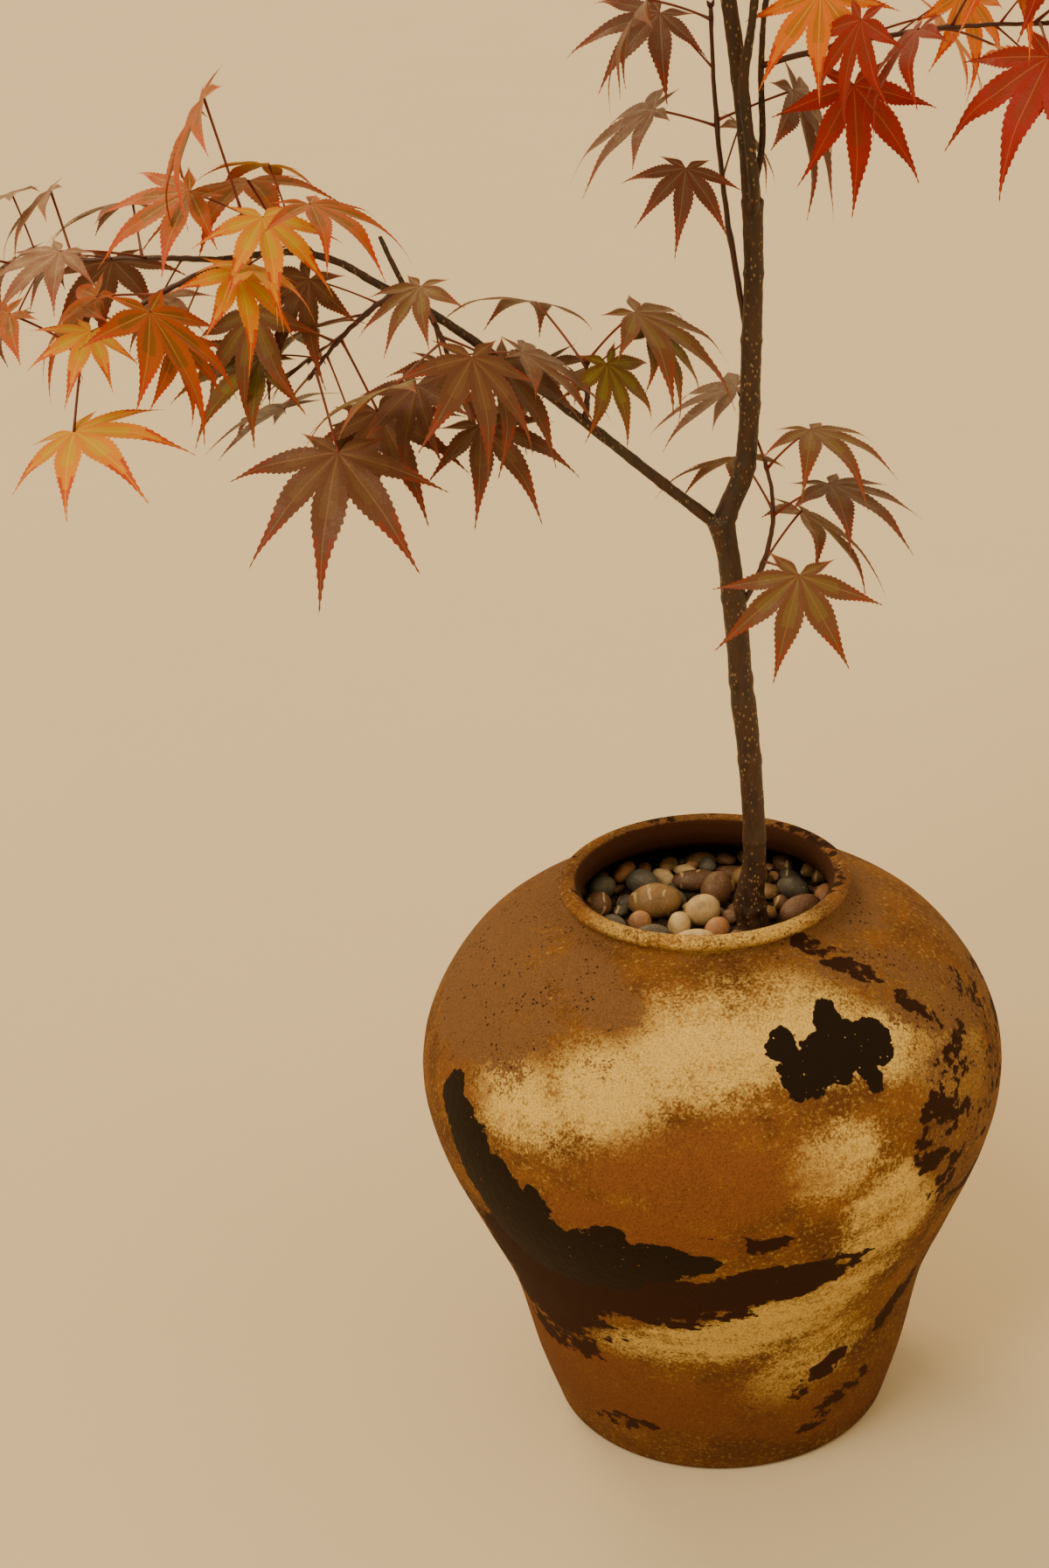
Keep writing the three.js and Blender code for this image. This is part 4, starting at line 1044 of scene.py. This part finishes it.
def fields(turns, heights, radii, places):
    """How deep each corner of the jar lies in a family of patches, 0.5 at their edges."""
    behind = [
        (BACK_TURN - turn * BACK_SHRINK, height * BACK_SHRINK + 10, half_width * BACK_SHRINK,
         half_height * BACK_SHRINK, -tilt, most)
        for turn, height, half_width, half_height, tilt, most in places
        if half_width >= LEAST_BEHIND and abs(turn) < 80 and height < NECK_HEIGHT
    ]
    depth = np.full(len(turns), -0.5)
    for turn, height, half_width, half_height, tilt, most in [*places, *behind]:
        across = (turns - turn + 180) % 360 - 180
        across = np.radians(across) * radii
        up = heights - height
        c, s = math.cos(math.radians(tilt)), math.sin(math.radians(tilt))
        reach = np.hypot((across * c + up * s) / half_width, (up * c - across * s) / half_height)
        depth = np.maximum(depth, np.minimum(1.5 - reach, most))
    return depth


def paint(mesh, name, channels):
    """Keeps three values for each corner of a mesh, for its material to read."""
    layer = mesh.attributes.new(name, "FLOAT_COLOR", "POINT")
    values = np.stack([*channels, np.ones(len(channels[0]))], axis=1)
    layer.data.foreach_set("color", values.ravel())


class MAPLE_OT_jar(bpy.types.Operator):
    """Throws the jar ring by ring and gives it its washes"""

    bl_idname = "maple.jar"
    bl_label = "Jar"

    def execute(self, context):
        settings = context.scene.maple_jar
        profile = np.array(jar_profile()) * MM
        bpy.ops.object.select_all(action="DESELECT")
        bpy.ops.mesh.primitive_circle_add(
            vertices=settings.segments, radius=profile[0][0], fill_type="NGON")
        jar = context.object
        bpy.ops.object.mode_set(mode="EDIT")
        bpy.ops.mesh.select_all(action="SELECT")
        for (radius, height), (wider, higher) in zip(profile, profile[1:]):
            bpy.ops.mesh.extrude_edges_move(
                TRANSFORM_OT_translate={"value": (0, 0, higher - height)})
            bpy.ops.transform.resize(value=(wider / radius, wider / radius, 1),
                                     center_override=(0, 0, higher))
        bpy.ops.mesh.edge_face_add()
        bpy.ops.mesh.select_all(action="SELECT")
        bpy.ops.mesh.normals_make_consistent(inside=False)
        bpy.ops.object.mode_set(mode="OBJECT")
        mesh = jar.data
        co = corners_of(mesh)
        radii = np.hypot(co[:, 0], co[:, 1])
        turns = np.degrees(np.arctan2(co[:, 0], -co[:, 1]))
        heights = co[:, 2] / MM
        # The rings past the lip's rings in light, and those inside, are marked for painted shade
        inner = np.zeros(len(co), bool)
        ring = np.repeat(np.arange(len(profile)), settings.segments)
        inner[:len(ring)] = ring > FOOT_RINGS + OUTSIDE_RINGS + LIP_RINGS_IN_LIGHT
        wobble = np.array([
            noise.noise(Vector(point) / 0.06) * 0.5
            + noise.noise(Vector((point[0] * 4, point[1] * 4, point[2] / 0.004))) * 0.5
            for point in co])
        lift = np.where(heights > 2, settings.throwing * wobble, 0)
        co[:, :2] *= (1 + lift / np.maximum(radii, 0.02))[:, None]
        mesh.vertices.foreach_set("co", co.ravel())
        size = (turns, heights, radii / MM)
        paint(mesh, "wash", [fields(*size, WASHES[kind]) for kind in ("straw", "orange", "mauve")])
        drips = [fields(*size, DRIPS[kind]) for kind in ("splash", "umber")]
        # Splashes, umber drips and the painted shade inside the neck
        paint(mesh, "drip", [*drips, inner * 1.0])
        mesh.materials.append(stoneware_material(settings))
        bpy.ops.object.shade_smooth()
        settle(jar, "stoneware_jar", "stoneware", "jar")
        return {"FINISHED"}


class MAPLE_OT_soil(bpy.types.Operator):
    """Gives the soil its finish and strews crumbs on it"""

    bl_idname = "maple.soil"
    bl_label = "Soil"

    def execute(self, context):
        made = soil_material(context.scene.maple_stones)
        frame["nodes"]["soil"].material_slots[0].material = made
        rng = np.random.default_rng(CRUMB_SEED)
        lump = np.repeat(np.eye(3), 2, axis=0) * np.array([1, -1] * 3)[:, None]
        shapes = [(0, 2, 4), (2, 1, 4), (1, 3, 4), (3, 0, 4), (2, 0, 5), (1, 2, 5), (3, 1, 5),
                  (0, 3, 5)]
        parts = []
        for _ in range(CRUMBS):
            turn, out = rng.uniform(0, 2 * math.pi), CRUMB_REACH * math.sqrt(rng.uniform())
            size = rng.uniform(*CRUMB_SIZES)
            corners = lump * size * rng.uniform(0.6, 1.2, (6, 1))
            place = [out * math.cos(turn), out * math.sin(turn), SOIL_LEVEL + size * 0.25]
            parts.append((corners + place, shapes))
        piece = joined("soil_crumbs", *gathered(parts), [made], smooth=False)
        settle(piece, "soil_crumbs", "potting_soil")
        return {"FINISHED"}


class MAPLE_OT_pebbles(bpy.types.Operator):
    """Tumbles each pebble smooth"""

    bl_idname = "maple.pebbles"
    bl_label = "Pebbles"

    def execute(self, context):
        settings = context.scene.maple_stones
        slots = {part["node"]: part["material_slot"] for part in frame["record"]["subparts"]}
        finishes = {}
        for name in sorted(frame["nodes"]):
            if not name.startswith("pebble_"):
                continue
            slot = slots[name]
            kind = slot.removeprefix("pebble_")
            if slot not in finishes:
                finishes[slot] = pebble_material(kind, getattr(settings, kind))
            low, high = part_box(name)
            stone = bpy.data.objects.new(f"stone_{name[-2:]}", frame["nodes"][name].data.copy())
            context.scene.collection.objects.link(stone)
            only(stone)
            bpy.ops.object.mode_set(mode="EDIT")
            bpy.ops.mesh.select_all(action="SELECT")
            bpy.ops.mesh.remove_doubles(threshold=0.01 * MM)
            bpy.ops.object.mode_set(mode="OBJECT")
            modifier = stone.modifiers.new("tumble", "SUBSURF")
            modifier.levels = modifier.render_levels = 2
            bpy.ops.object.modifier_apply(modifier="tumble")
            middle, half = (low + high) / 2, (high - low) / 2
            seed = Vector((int(name[-2:]) * 3.7, 1.3, 0))
            co = corners_of(stone.data)
            bumps = [1 + 0.05 * noise.noise(Vector(place) / 0.009 + seed) for place in co]
            off = (co - np.array(middle)) * np.array(bumps)[:, None]
            off *= np.array(half) / np.abs(off).max(axis=0)
            stone.data.vertices.foreach_set("co", (off + np.array(middle)).ravel())
            stone.data.materials.clear()
            stone.data.materials.append(finishes[slot])
            bpy.ops.object.shade_smooth()
            settle(stone, f"stone_{name[-2:]}", slot, name)
        return {"FINISHED"}


class MAPLE_OT_gravel(bpy.types.Operator):
    """Fills the places between the pebbles with small stones"""

    bl_idname = "maple.gravel"
    bl_label = "Gravel"

    def execute(self, context):
        settings = context.scene.maple_stones
        bpy.ops.object.select_all(action="DESELECT")
        bpy.ops.mesh.primitive_ico_sphere_add(subdivisions=2, radius=1)
        ball = context.object
        corners = corners_of(ball.data)
        shapes = [tuple(p.vertices) for p in ball.data.polygons]
        bpy.data.objects.remove(ball)
        rng = np.random.default_rng(GRAVEL_SEED)
        boxes = [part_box(name) for name in frame["nodes"] if name.startswith("pebble_")]
        taken = [((low + high).xy / 2 / MM, max((high - low).xy) * 0.42 / MM)
                 for low, high in boxes]
        taken.append((Vector(TRUNK_FOOT[:2]), TRUNK_FOOT[2]))
        parts = {kind: [] for kind in STONE_KINDS}
        placed = 0
        for tried in range(GRAVEL_TRIES):
            if placed == settings.gravel_count:
                break
            turn, out = rng.uniform(0, 2 * math.pi), GRAVEL_REACH * math.sqrt(rng.uniform())
            half = rng.uniform(*(LARGE_GRAVEL if tried < GRAVEL_TRIES / 2 else SMALL_GRAVEL))
            spot = Vector((out * math.cos(turn), out * math.sin(turn)))
            if any((spot - other).length < reach + half * 0.9 for other, reach in taken):
                continue
            size = half * rng.uniform([0.9, 0.6, 0.5], [1.35, 1.0, 0.85])
            knobs = 1 + 0.24 * (rng.random((len(corners), 1)) - 0.5)
            spin = Matrix.Rotation(rng.uniform(0, 6.28), 3, "Z") @ Matrix.Rotation(
                rng.uniform(-0.4, 0.4), 3, "X")
            some = (corners * knobs * size) @ np.array(spin).T
            some += [spot.x, spot.y, SOIL_LEVEL + size[2] * rng.uniform(0.7, 1.6)]
            parts[rng.choice(list(parts))].append((some, shapes))
            taken.append((spot, half * 0.9))
            placed += 1
        for kind, stones in parts.items():
            made = bpy.data.materials.get(f"{kind} river stone")
            piece = joined(f"gravel_{kind}", *gathered(stones), [made])
            settle(piece, f"gravel_{kind}", f"pebble_{kind}")
        return {"FINISHED"}


def limb_radius(name, height, radius, share):
    """A limb's radius with the rings that last year's leaves left on it."""
    spacing = SCAR_SPACING.get(name, OTHER_SCAR_SPACING)
    phase = abs((height / spacing) % 1 - 0.5) * spacing
    swell = THIN_SCAR_SWELL if name.startswith("high") or name == "dead_stub" else SCAR_SWELL
    return radius * (1 + swell * math.exp(-(phase / SCAR_BREADTH) ** 2) * min(1, share * 12))


def bark_lift(settings, place):
    """How far the bark stands out at a place: fine grain, soft lumps and knobs at the foot."""
    grain = noise.noise(Vector((place.x, place.y, place.z * 0.4)) / 0.0016)
    lift = settings.grain * (grain + 1.4 * noise.noise(place / 0.006))
    foot = 1 - (place.z / MM - SOIL_LEVEL) / 26
    if foot > 0:
        lift += settings.burl * foot * noise.noise(place / 0.0065 + Vector((3, 0, 0)))
    return lift


class MAPLE_OT_bark(bpy.types.Operator):
    """Grows the limbs as one skin with the relief of young bark"""

    bl_idname = "maple.bark"
    bl_label = "Trunk and boughs"

    def execute(self, context):
        settings = context.scene.maple_bark
        made = []
        for name, (rings, stations) in PLANT[0].items():
            fine, sizes = limb_path(stations, rings * 6)
            curve = bpy.data.curves.new(name, "CURVE")
            curve.dimensions = "3D"
            curve.bevel_depth = MM
            curve.bevel_resolution = 4
            curve.use_fill_caps = True
            spline = curve.splines.new("POLY")
            spline.points.add(len(fine) - 1)
            for i, (point, radius) in enumerate(zip(fine, sizes)):
                spline.points[i].co = (*(point * MM), 1)
                spline.points[i].radius = limb_radius(name, point[2] + abs(point[0]), radius,
                                                      i / len(fine))
            limb = bpy.data.objects.new(name, curve)
            context.scene.collection.objects.link(limb)
            made.append(limb)
        bpy.ops.object.select_all(action="DESELECT")
        for limb in made:
            limb.select_set(True)
        context.view_layer.objects.active = made[0]
        bpy.ops.object.convert(target="MESH")
        bpy.ops.object.join()
        bark = context.object
        blend = bark.modifiers.new("blend", "REMESH")
        blend.mode = "VOXEL"
        blend.voxel_size = settings.voxel
        bpy.ops.object.modifier_apply(modifier="blend")
        ease = bark.modifiers.new("ease", "SMOOTH")
        ease.factor = 0.5
        ease.iterations = 3
        bpy.ops.object.modifier_apply(modifier="ease")
        mesh = bark.data
        co = corners_of(mesh)
        lifts = np.array([bark_lift(settings, Vector(place)) for place in co])[:, None]
        mesh.vertices.foreach_set("co", (co + corners_of(mesh, "normal") * lifts).ravel())
        mesh.update()
        mesh.materials.clear()
        mesh.materials.append(bark_material(settings))
        bpy.ops.object.shade_smooth()
        settle(bark, "maple_bark", "bark", *PLANT[0])
        return {"FINISHED"}


def swollen_twig(path, thick, thin, pairs, seed):
    """A twig with a little swelling at each node and a slight waver between them."""
    rng = np.random.default_rng(seed)
    steps = 6 * (len(path) - 1)
    shares = np.linspace(0, 1, steps + 1)
    dense = np.array([path_at(path, share)[0] for share in shares])
    smooth = dense.copy()
    for _ in range(3):
        smooth[1:-1] = (smooth[:-2] + 2 * smooth[1:-1] + smooth[2:]) / 4
    waver = rng.uniform(-0.25, 0.25, smooth.shape)
    waver[0] = waver[-1] = 0
    radii = thick + (thin - thick) * shares
    for pair in range(1, pairs + 1):
        off = (shares - min(pair / pairs, LAST_NODE)) * steps
        radii += NODE_SWELL * np.exp(-(off / 0.8) ** 2)
    return tube(smooth + waver, radii, 6)


class MAPLE_OT_twigs(bpy.types.Operator):
    """Grows the twigs of every spray, with their buds"""

    bl_idname = "maple.twigs"
    bl_label = "Twigs"

    def execute(self, context):
        settings = context.scene.maple_bark
        parts = []
        for spray in PLANT[1]:
            for index, twig in enumerate(spray["grown"]):
                pairs = spray["pairs"] if index == 0 else TWIG_PAIRS
                parts.append(swollen_twig(twig["path"], twig["thick"], STEM_THIN, pairs,
                                          spray["seed"] * 8 + index))
                tip, way = path_at(twig["path"], 1.0)
                across = unit(np.cross(way, UP))
                for side in (-1, 1):
                    bud = unit(way + across * side * 0.5)
                    steps = np.linspace(0, 1, 5)[:, None]
                    parts.append(tube(tip - way + bud * steps * BUD_LENGTH, BUD_RADII, 5))
            for path in spray["fine_twigs"]:
                parts.append(tube(path, np.linspace(FINE_THICK, FINE_THICK * 0.7, len(path)), 5))
        made = shoot_material("this year's shoots", settings.shoot, settings.shoot_shade, 0.5)
        piece = joined("maple_twigs", *gathered(parts), [made])
        settle(piece, "maple_twigs", "bark", *[spray["name"] for spray in PLANT[1]])
        return {"FINISHED"}


class MAPLE_OT_stalks(bpy.types.Operator):
    """Grows the leaf stalks"""

    bl_idname = "maple.stalks"
    bl_label = "Leaf stalks"

    def execute(self, context):
        settings = context.scene.maple_leaf
        radius = settings.petiole / MM
        rng = np.random.default_rng(STALK_SEED)
        parts = []
        for leaf in PLANT[2].leaves:
            reach = leaf["palm"] - leaf["root"]
            sag = UP * rng.uniform(0.02, 0.08) * np.linalg.norm(reach)
            path = bowed(leaf["root"], reach, sag, 7)
            scale = FINER_STALK if leaf["finer"] else 1.0
            parts.append(tube(path, radius * scale * np.array(STALK_SHARES), 5))
        made = shoot_material("crimson leaf stalks", settings.stalk, settings.stalk_shade, 0.42)
        piece = joined("leaf_stalks", *gathered(parts), [made])
        settle(piece, "leaf_stalks", "leaves_crimson")
        return {"FINISHED"}


def leaf_template(rows, web_rows, columns, depth):
    """A flat leaf of seven toothed lobes, one unit long: its corners, faces and bands.

    Bands are 0 for the inner blade, 1 for the outer blade, 2 for the tips and 3 for the ribs.
    """
    corners, faces, bands, folds = [], [], [], []
    signs = np.sign(columns)
    for n, (turn, share) in enumerate(zip(np.radians(LOBE_TURNS), LOBE_SHARES)):
        ends = []
        for step in (-1, 1):
            other = n + step
            if 0 <= other < len(LOBE_TURNS):
                bound = math.radians((LOBE_TURNS[n] + LOBE_TURNS[other]) / 2)
                radius = DRESSED_NOTCH * math.sqrt(share * LOBE_SHARES[other])
            else:
                bound = turn + step * math.radians(OUTER_HALF_TURN)
                radius = OUTER_NOTCH
            ends.append((radius * math.cos(bound - turn), radius * math.sin(bound - turn)))
        middle = (ends[0][0] + ends[1][0]) / 2
        along_way = np.array([math.cos(turn), math.sin(turn)])
        across_way = np.array([-math.sin(turn), math.cos(turn)])
        start = len(corners)
        for row in range(web_rows + rows + 1):
            web = min(row / web_rows, 1)
            x = max(row - web_rows, 0) / rows
            for column, sign in zip(columns, signs):
                edge = ends[0] if sign < 0 else ends[1]
                belly = LOBE_BELLY * x * (share - middle) / (1 - DRESSED_NOTCH)
                width = (abs(edge[1]) + belly) * (1 - x) ** LOBE_TAPER
                width += DRIP_TIP * x * (1 - x) * share
                part = abs(column)
                forward = 0.0
                if part == 1 and 0 < x < 1:
                    bite = depth * math.sqrt(1 - x) * min(1, x * 8)
                    width += bite if row % 2 else -bite * 0.5
                    forward = 0.35 / rows if row % 2 else 0
                rib = RIB_HALF_WIDTH * (1 - 0.7 * x) if row else 0
                out = min(rib, width * web * 0.4) if part < 0.3 else part * width * web
                base = middle + (edge[0] - middle) * part
                along = web * base if x == 0 else base + (share - base) * (x + forward)
                corners.append(along * along_way + sign * out * across_way)
                folds.append(out)
        count = len(columns)
        for row in range(web_rows + rows):
            for k in range(count - 1):
                a = start + row * count + k
                faces.append((a, a + 1, a + count + 1, a + count))
                beyond = (row - web_rows + 0.5) / rows
                outer = count > 3 and max(abs(columns[k]), abs(columns[k + 1])) == 1
                if signs[k] * signs[k + 1] < 0:
                    bands.append(3)
                elif beyond > (OUTER_TIP_FROM if outer else TIP_FROM):
                    bands.append(2)
                elif outer or beyond > BLADE_FROM:
                    bands.append(1)
                else:
                    bands.append(0)
    corners = np.array(corners)
    _, first, same = np.unique(
        np.round(corners, 5), axis=0, return_index=True, return_inverse=True)
    same = same.ravel()
    kept_faces, kept_bands = [], []
    for face, band in zip(faces, bands):
        ring = list(dict.fromkeys(int(same[c]) for c in face))
        if len(ring) > 2:
            kept_faces.append(tuple(ring))
            kept_bands.append(band)
    return corners[first], kept_faces, kept_bands, np.array(folds)[first]


def dressed_leaf(template, leaf, fold, rng):
    """The corners of one leaf: its template warped, folded, curled and laid in its frame."""
    corners, _, _, folds = template
    out = np.hypot(*corners.T)
    turn = np.degrees(np.arctan2(corners[:, 1], corners[:, 0]))
    lobes = np.linspace(LOBE_TURNS[0], LOBE_TURNS[-1], len(LOBE_TURNS))
    turn = turn + np.interp(turn, lobes, rng.uniform(-5, 5, len(lobes)))
    out = out * np.interp(turn, lobes, 1 + rng.uniform(-0.08, 0.06, len(lobes)))
    curl = LEAF_CURL + rng.uniform(-0.08, 0.08)
    rise = -curl * out ** 2 + fold * rng.uniform(0.6, 1.4) * folds
    rise -= rng.uniform(0.3, 0.9) * np.maximum(out - 0.5, 0) ** 2
    rise += 0.012 * np.sin(out * rng.uniform(9, 16) + turn * 0.11 + rng.uniform(0, 6)) * out
    angle = np.radians(turn)
    forward, aside = (np.cos(angle) * out)[:, None], (np.sin(angle) * out)[:, None]
    flat = forward * leaf["way"] + aside * leaf["side"]
    return leaf["palm"] + leaf["size"] * (flat + rise[:, None] * leaf["normal"])


# Tints of the leaves, dealt out by spray: inner blade, outer blade, tips and ribs
TINTS = {
    "bronze": [
        ("#6a5226", "#663e22", "#78331a", "#7c5a36"),
        ("#74661f", "#6c4e22", "#803a1a", "#8a6f3a"),
        ("#5a3a22", "#55301f", "#6a2a18", "#6c4a32"),
        ("#644426", "#5e3822", "#742e1a", "#785236"),
    ],
    "amber": [
        # The first amber shade is partly the leaf's own amber and partly painted glow: brighter,
        # as if light shone through it from behind
        ("#f0b800", "#f0a200", "#e06000", "#f4c83c"),
        ("#c49a08", "#d48406", "#bc4a06", "#d8a830"),
        ("#7e4c14", "#a04a0c", "#b03808", "#a87030"),
    ],
    "flame": [
        ("#c8780a", "#e87c06", "#d04a06", "#e0a040"),
        ("#8a2a14", "#961c12", "#8c1612", "#aa4c30"),
        ("#64361c", "#7a3414", "#963010", "#8c5c34"),
    ],
    "rose": [
        ("#7c5c46", "#764c3a", "#84402c", "#90705a"),
        ("#604030", "#623628", "#7a2f22", "#7e5c48"),
    ],
    "crimson": [
        ("#8a1c16", "#9e1815", "#a61a13", "#b03c2c"),
        ("#68301e", "#7c241a", "#8e1c15", "#905038"),
    ],
}


class MAPLE_OT_leaves(bpy.types.Operator):
    """Unfolds the leaves of every spray"""

    bl_idname = "maple.leaves"
    bl_label = "Leaves"

    def execute(self, context):
        settings = context.scene.maple_leaf
        near = leaf_template(*NEAR_LEAF, settings.teeth)
        far = leaf_template(*FAR_LEAF, settings.teeth * FAR_TEETH)
        for tint, shades in TINTS.items():
            made = [leaf_material(f"{tint} maple leaf {part} {i + 1}", code)
                    for i, codes in enumerate(shades)
                    for part, code in zip(("heart", "blade", "tip", "rib"), codes)]
            parts, bands, names = [], [], set()
            for number, leaf in enumerate(PLANT[2].leaves):
                if leaf["spray"]["tint"] != tint:
                    continue
                rng = np.random.default_rng(number)
                template = far if leaf["spray"]["twigs"] > 1 else near
                shade = int(rng.integers(len(shades)))
                corners = dressed_leaf(template, leaf, settings.fold, rng)
                parts.append((corners, template[1]))
                bands += [band + 4 * shade for band in template[2]]
                names.add(leaf["spray"]["name"])
            piece = joined(f"leaves_{tint}", *gathered(parts), made, bands)
            slot = "amber" if tint == "flame" else tint
            settle(piece, f"leaves_{tint}", f"leaves_{slot}", *sorted(names))
        return {"FINISHED"}


class MAPLE_OT_stage(bpy.types.Operator):
    """Lays the pale floor and sets the lights and the camera"""

    bl_idname = "maple.stage"
    bl_label = "Floor, lights and camera"

    def execute(self, context):
        settings = context.scene.maple_stage
        bpy.ops.object.select_all(action="DESELECT")
        bpy.ops.mesh.primitive_circle_add(vertices=96, radius=FLOOR_RADIUS, fill_type="NGON")
        floor = context.object
        floor.name = "pale_floor"
        made, tree, shader, place = new_material("pale matt paint")
        dress(tree, shader, settings.floor, [
            (blotches(tree, place, 300 * MM, 0.3, 0.7, most=0.12), settings.floor_clouds),
        ], [(blotches(tree, place, 2 * MM, 0, 1), 0.1 * MM)], 0.8)
        floor.data.materials.append(made)
        for setting, (name, place, breadth, colour) in LAMPS.items():
            light = bpy.data.lights.new(name, "SUN")
            light.angle = math.radians(breadth)
            light.energy = getattr(settings, setting)
            light.color = linear(colour)[:3]
            lamp = bpy.data.objects.new(name, light)
            lamp.location = place
            lamp.rotation_euler = Vector(place).to_track_quat("Z", "Y").to_euler()
            context.scene.collection.objects.link(lamp)
        world = bpy.data.worlds.new("soft room light")
        context.scene.world = world
        world.use_nodes = True
        feed(world.node_tree, world.node_tree.nodes["Background"], {
            "Color": linear(ROOM_COLOUR), "Strength": ROOM_STRENGTH,
        })
        pitch, roll, yaw = map(math.radians, (CAMERA_PITCH, CAMERA_ROLL, CAMERA_YAW))
        ahead = Vector((math.sin(yaw) * math.cos(pitch), math.cos(yaw) * math.cos(pitch),
                        -math.sin(pitch)))
        level = Vector((math.cos(yaw), -math.sin(yaw), 0))
        above = level.cross(ahead)
        right = level * math.cos(roll) + above * math.sin(roll)
        above = above * math.cos(roll) - level * math.sin(roll)
        camera = bpy.data.objects.new("camera", bpy.data.cameras.new("camera"))
        camera.data.lens = LENS
        camera.data.sensor_width = SENSOR
        camera.matrix_world = Matrix.Translation(CAMERA_PLACE) @ Matrix(
            (right, above, -ahead)).transposed().to_4x4()
        context.scene.collection.objects.link(camera)
        context.scene.camera = camera
        return {"FINISHED"}


class MAPLE_PT_panel(bpy.types.Panel):
    """Lists the pieces of the potted maple"""

    bl_idname = "MAPLE_PT_panel"
    bl_label = "Potted maple"
    bl_space_type = "VIEW_3D"
    bl_region_type = "UI"
    bl_category = "Maple"

    def draw(self, context):
        for operator in OPERATORS:
            self.layout.operator(operator.bl_idname)


OPERATORS = (
    MAPLE_OT_stage, MAPLE_OT_jar, MAPLE_OT_soil, MAPLE_OT_pebbles, MAPLE_OT_gravel,
    MAPLE_OT_bark, MAPLE_OT_twigs, MAPLE_OT_stalks, MAPLE_OT_leaves,
)
SETTINGS = {
    "maple_jar": JarSettings, "maple_stones": StoneSettings, "maple_bark": BarkSettings,
    "maple_leaf": LeafSettings, "maple_stage": StageSettings,
}
PLANT = grow_plant()


def register():
    for group in SETTINGS.values():
        bpy.utils.register_class(group)
    for name, group in SETTINGS.items():
        setattr(bpy.types.Scene, name, PointerProperty(type=group))
    for operator in (*OPERATORS, MAPLE_PT_panel):
        bpy.utils.register_class(operator)


def unregister():
    for operator in reversed((*OPERATORS, MAPLE_PT_panel)):
        bpy.utils.unregister_class(operator)
    for name, group in SETTINGS.items():
        delattr(bpy.types.Scene, name)
        bpy.utils.unregister_class(group)


def main():
    register()
    bpy.ops.maple.stage()
    bpy.ops.maple.jar()
    bpy.ops.maple.soil()
    bpy.ops.maple.pebbles()
    bpy.ops.maple.gravel()
    bpy.ops.maple.bark()
    bpy.ops.maple.twigs()
    bpy.ops.maple.stalks()
    bpy.ops.maple.leaves()


if __name__ == "__main__":
    main()
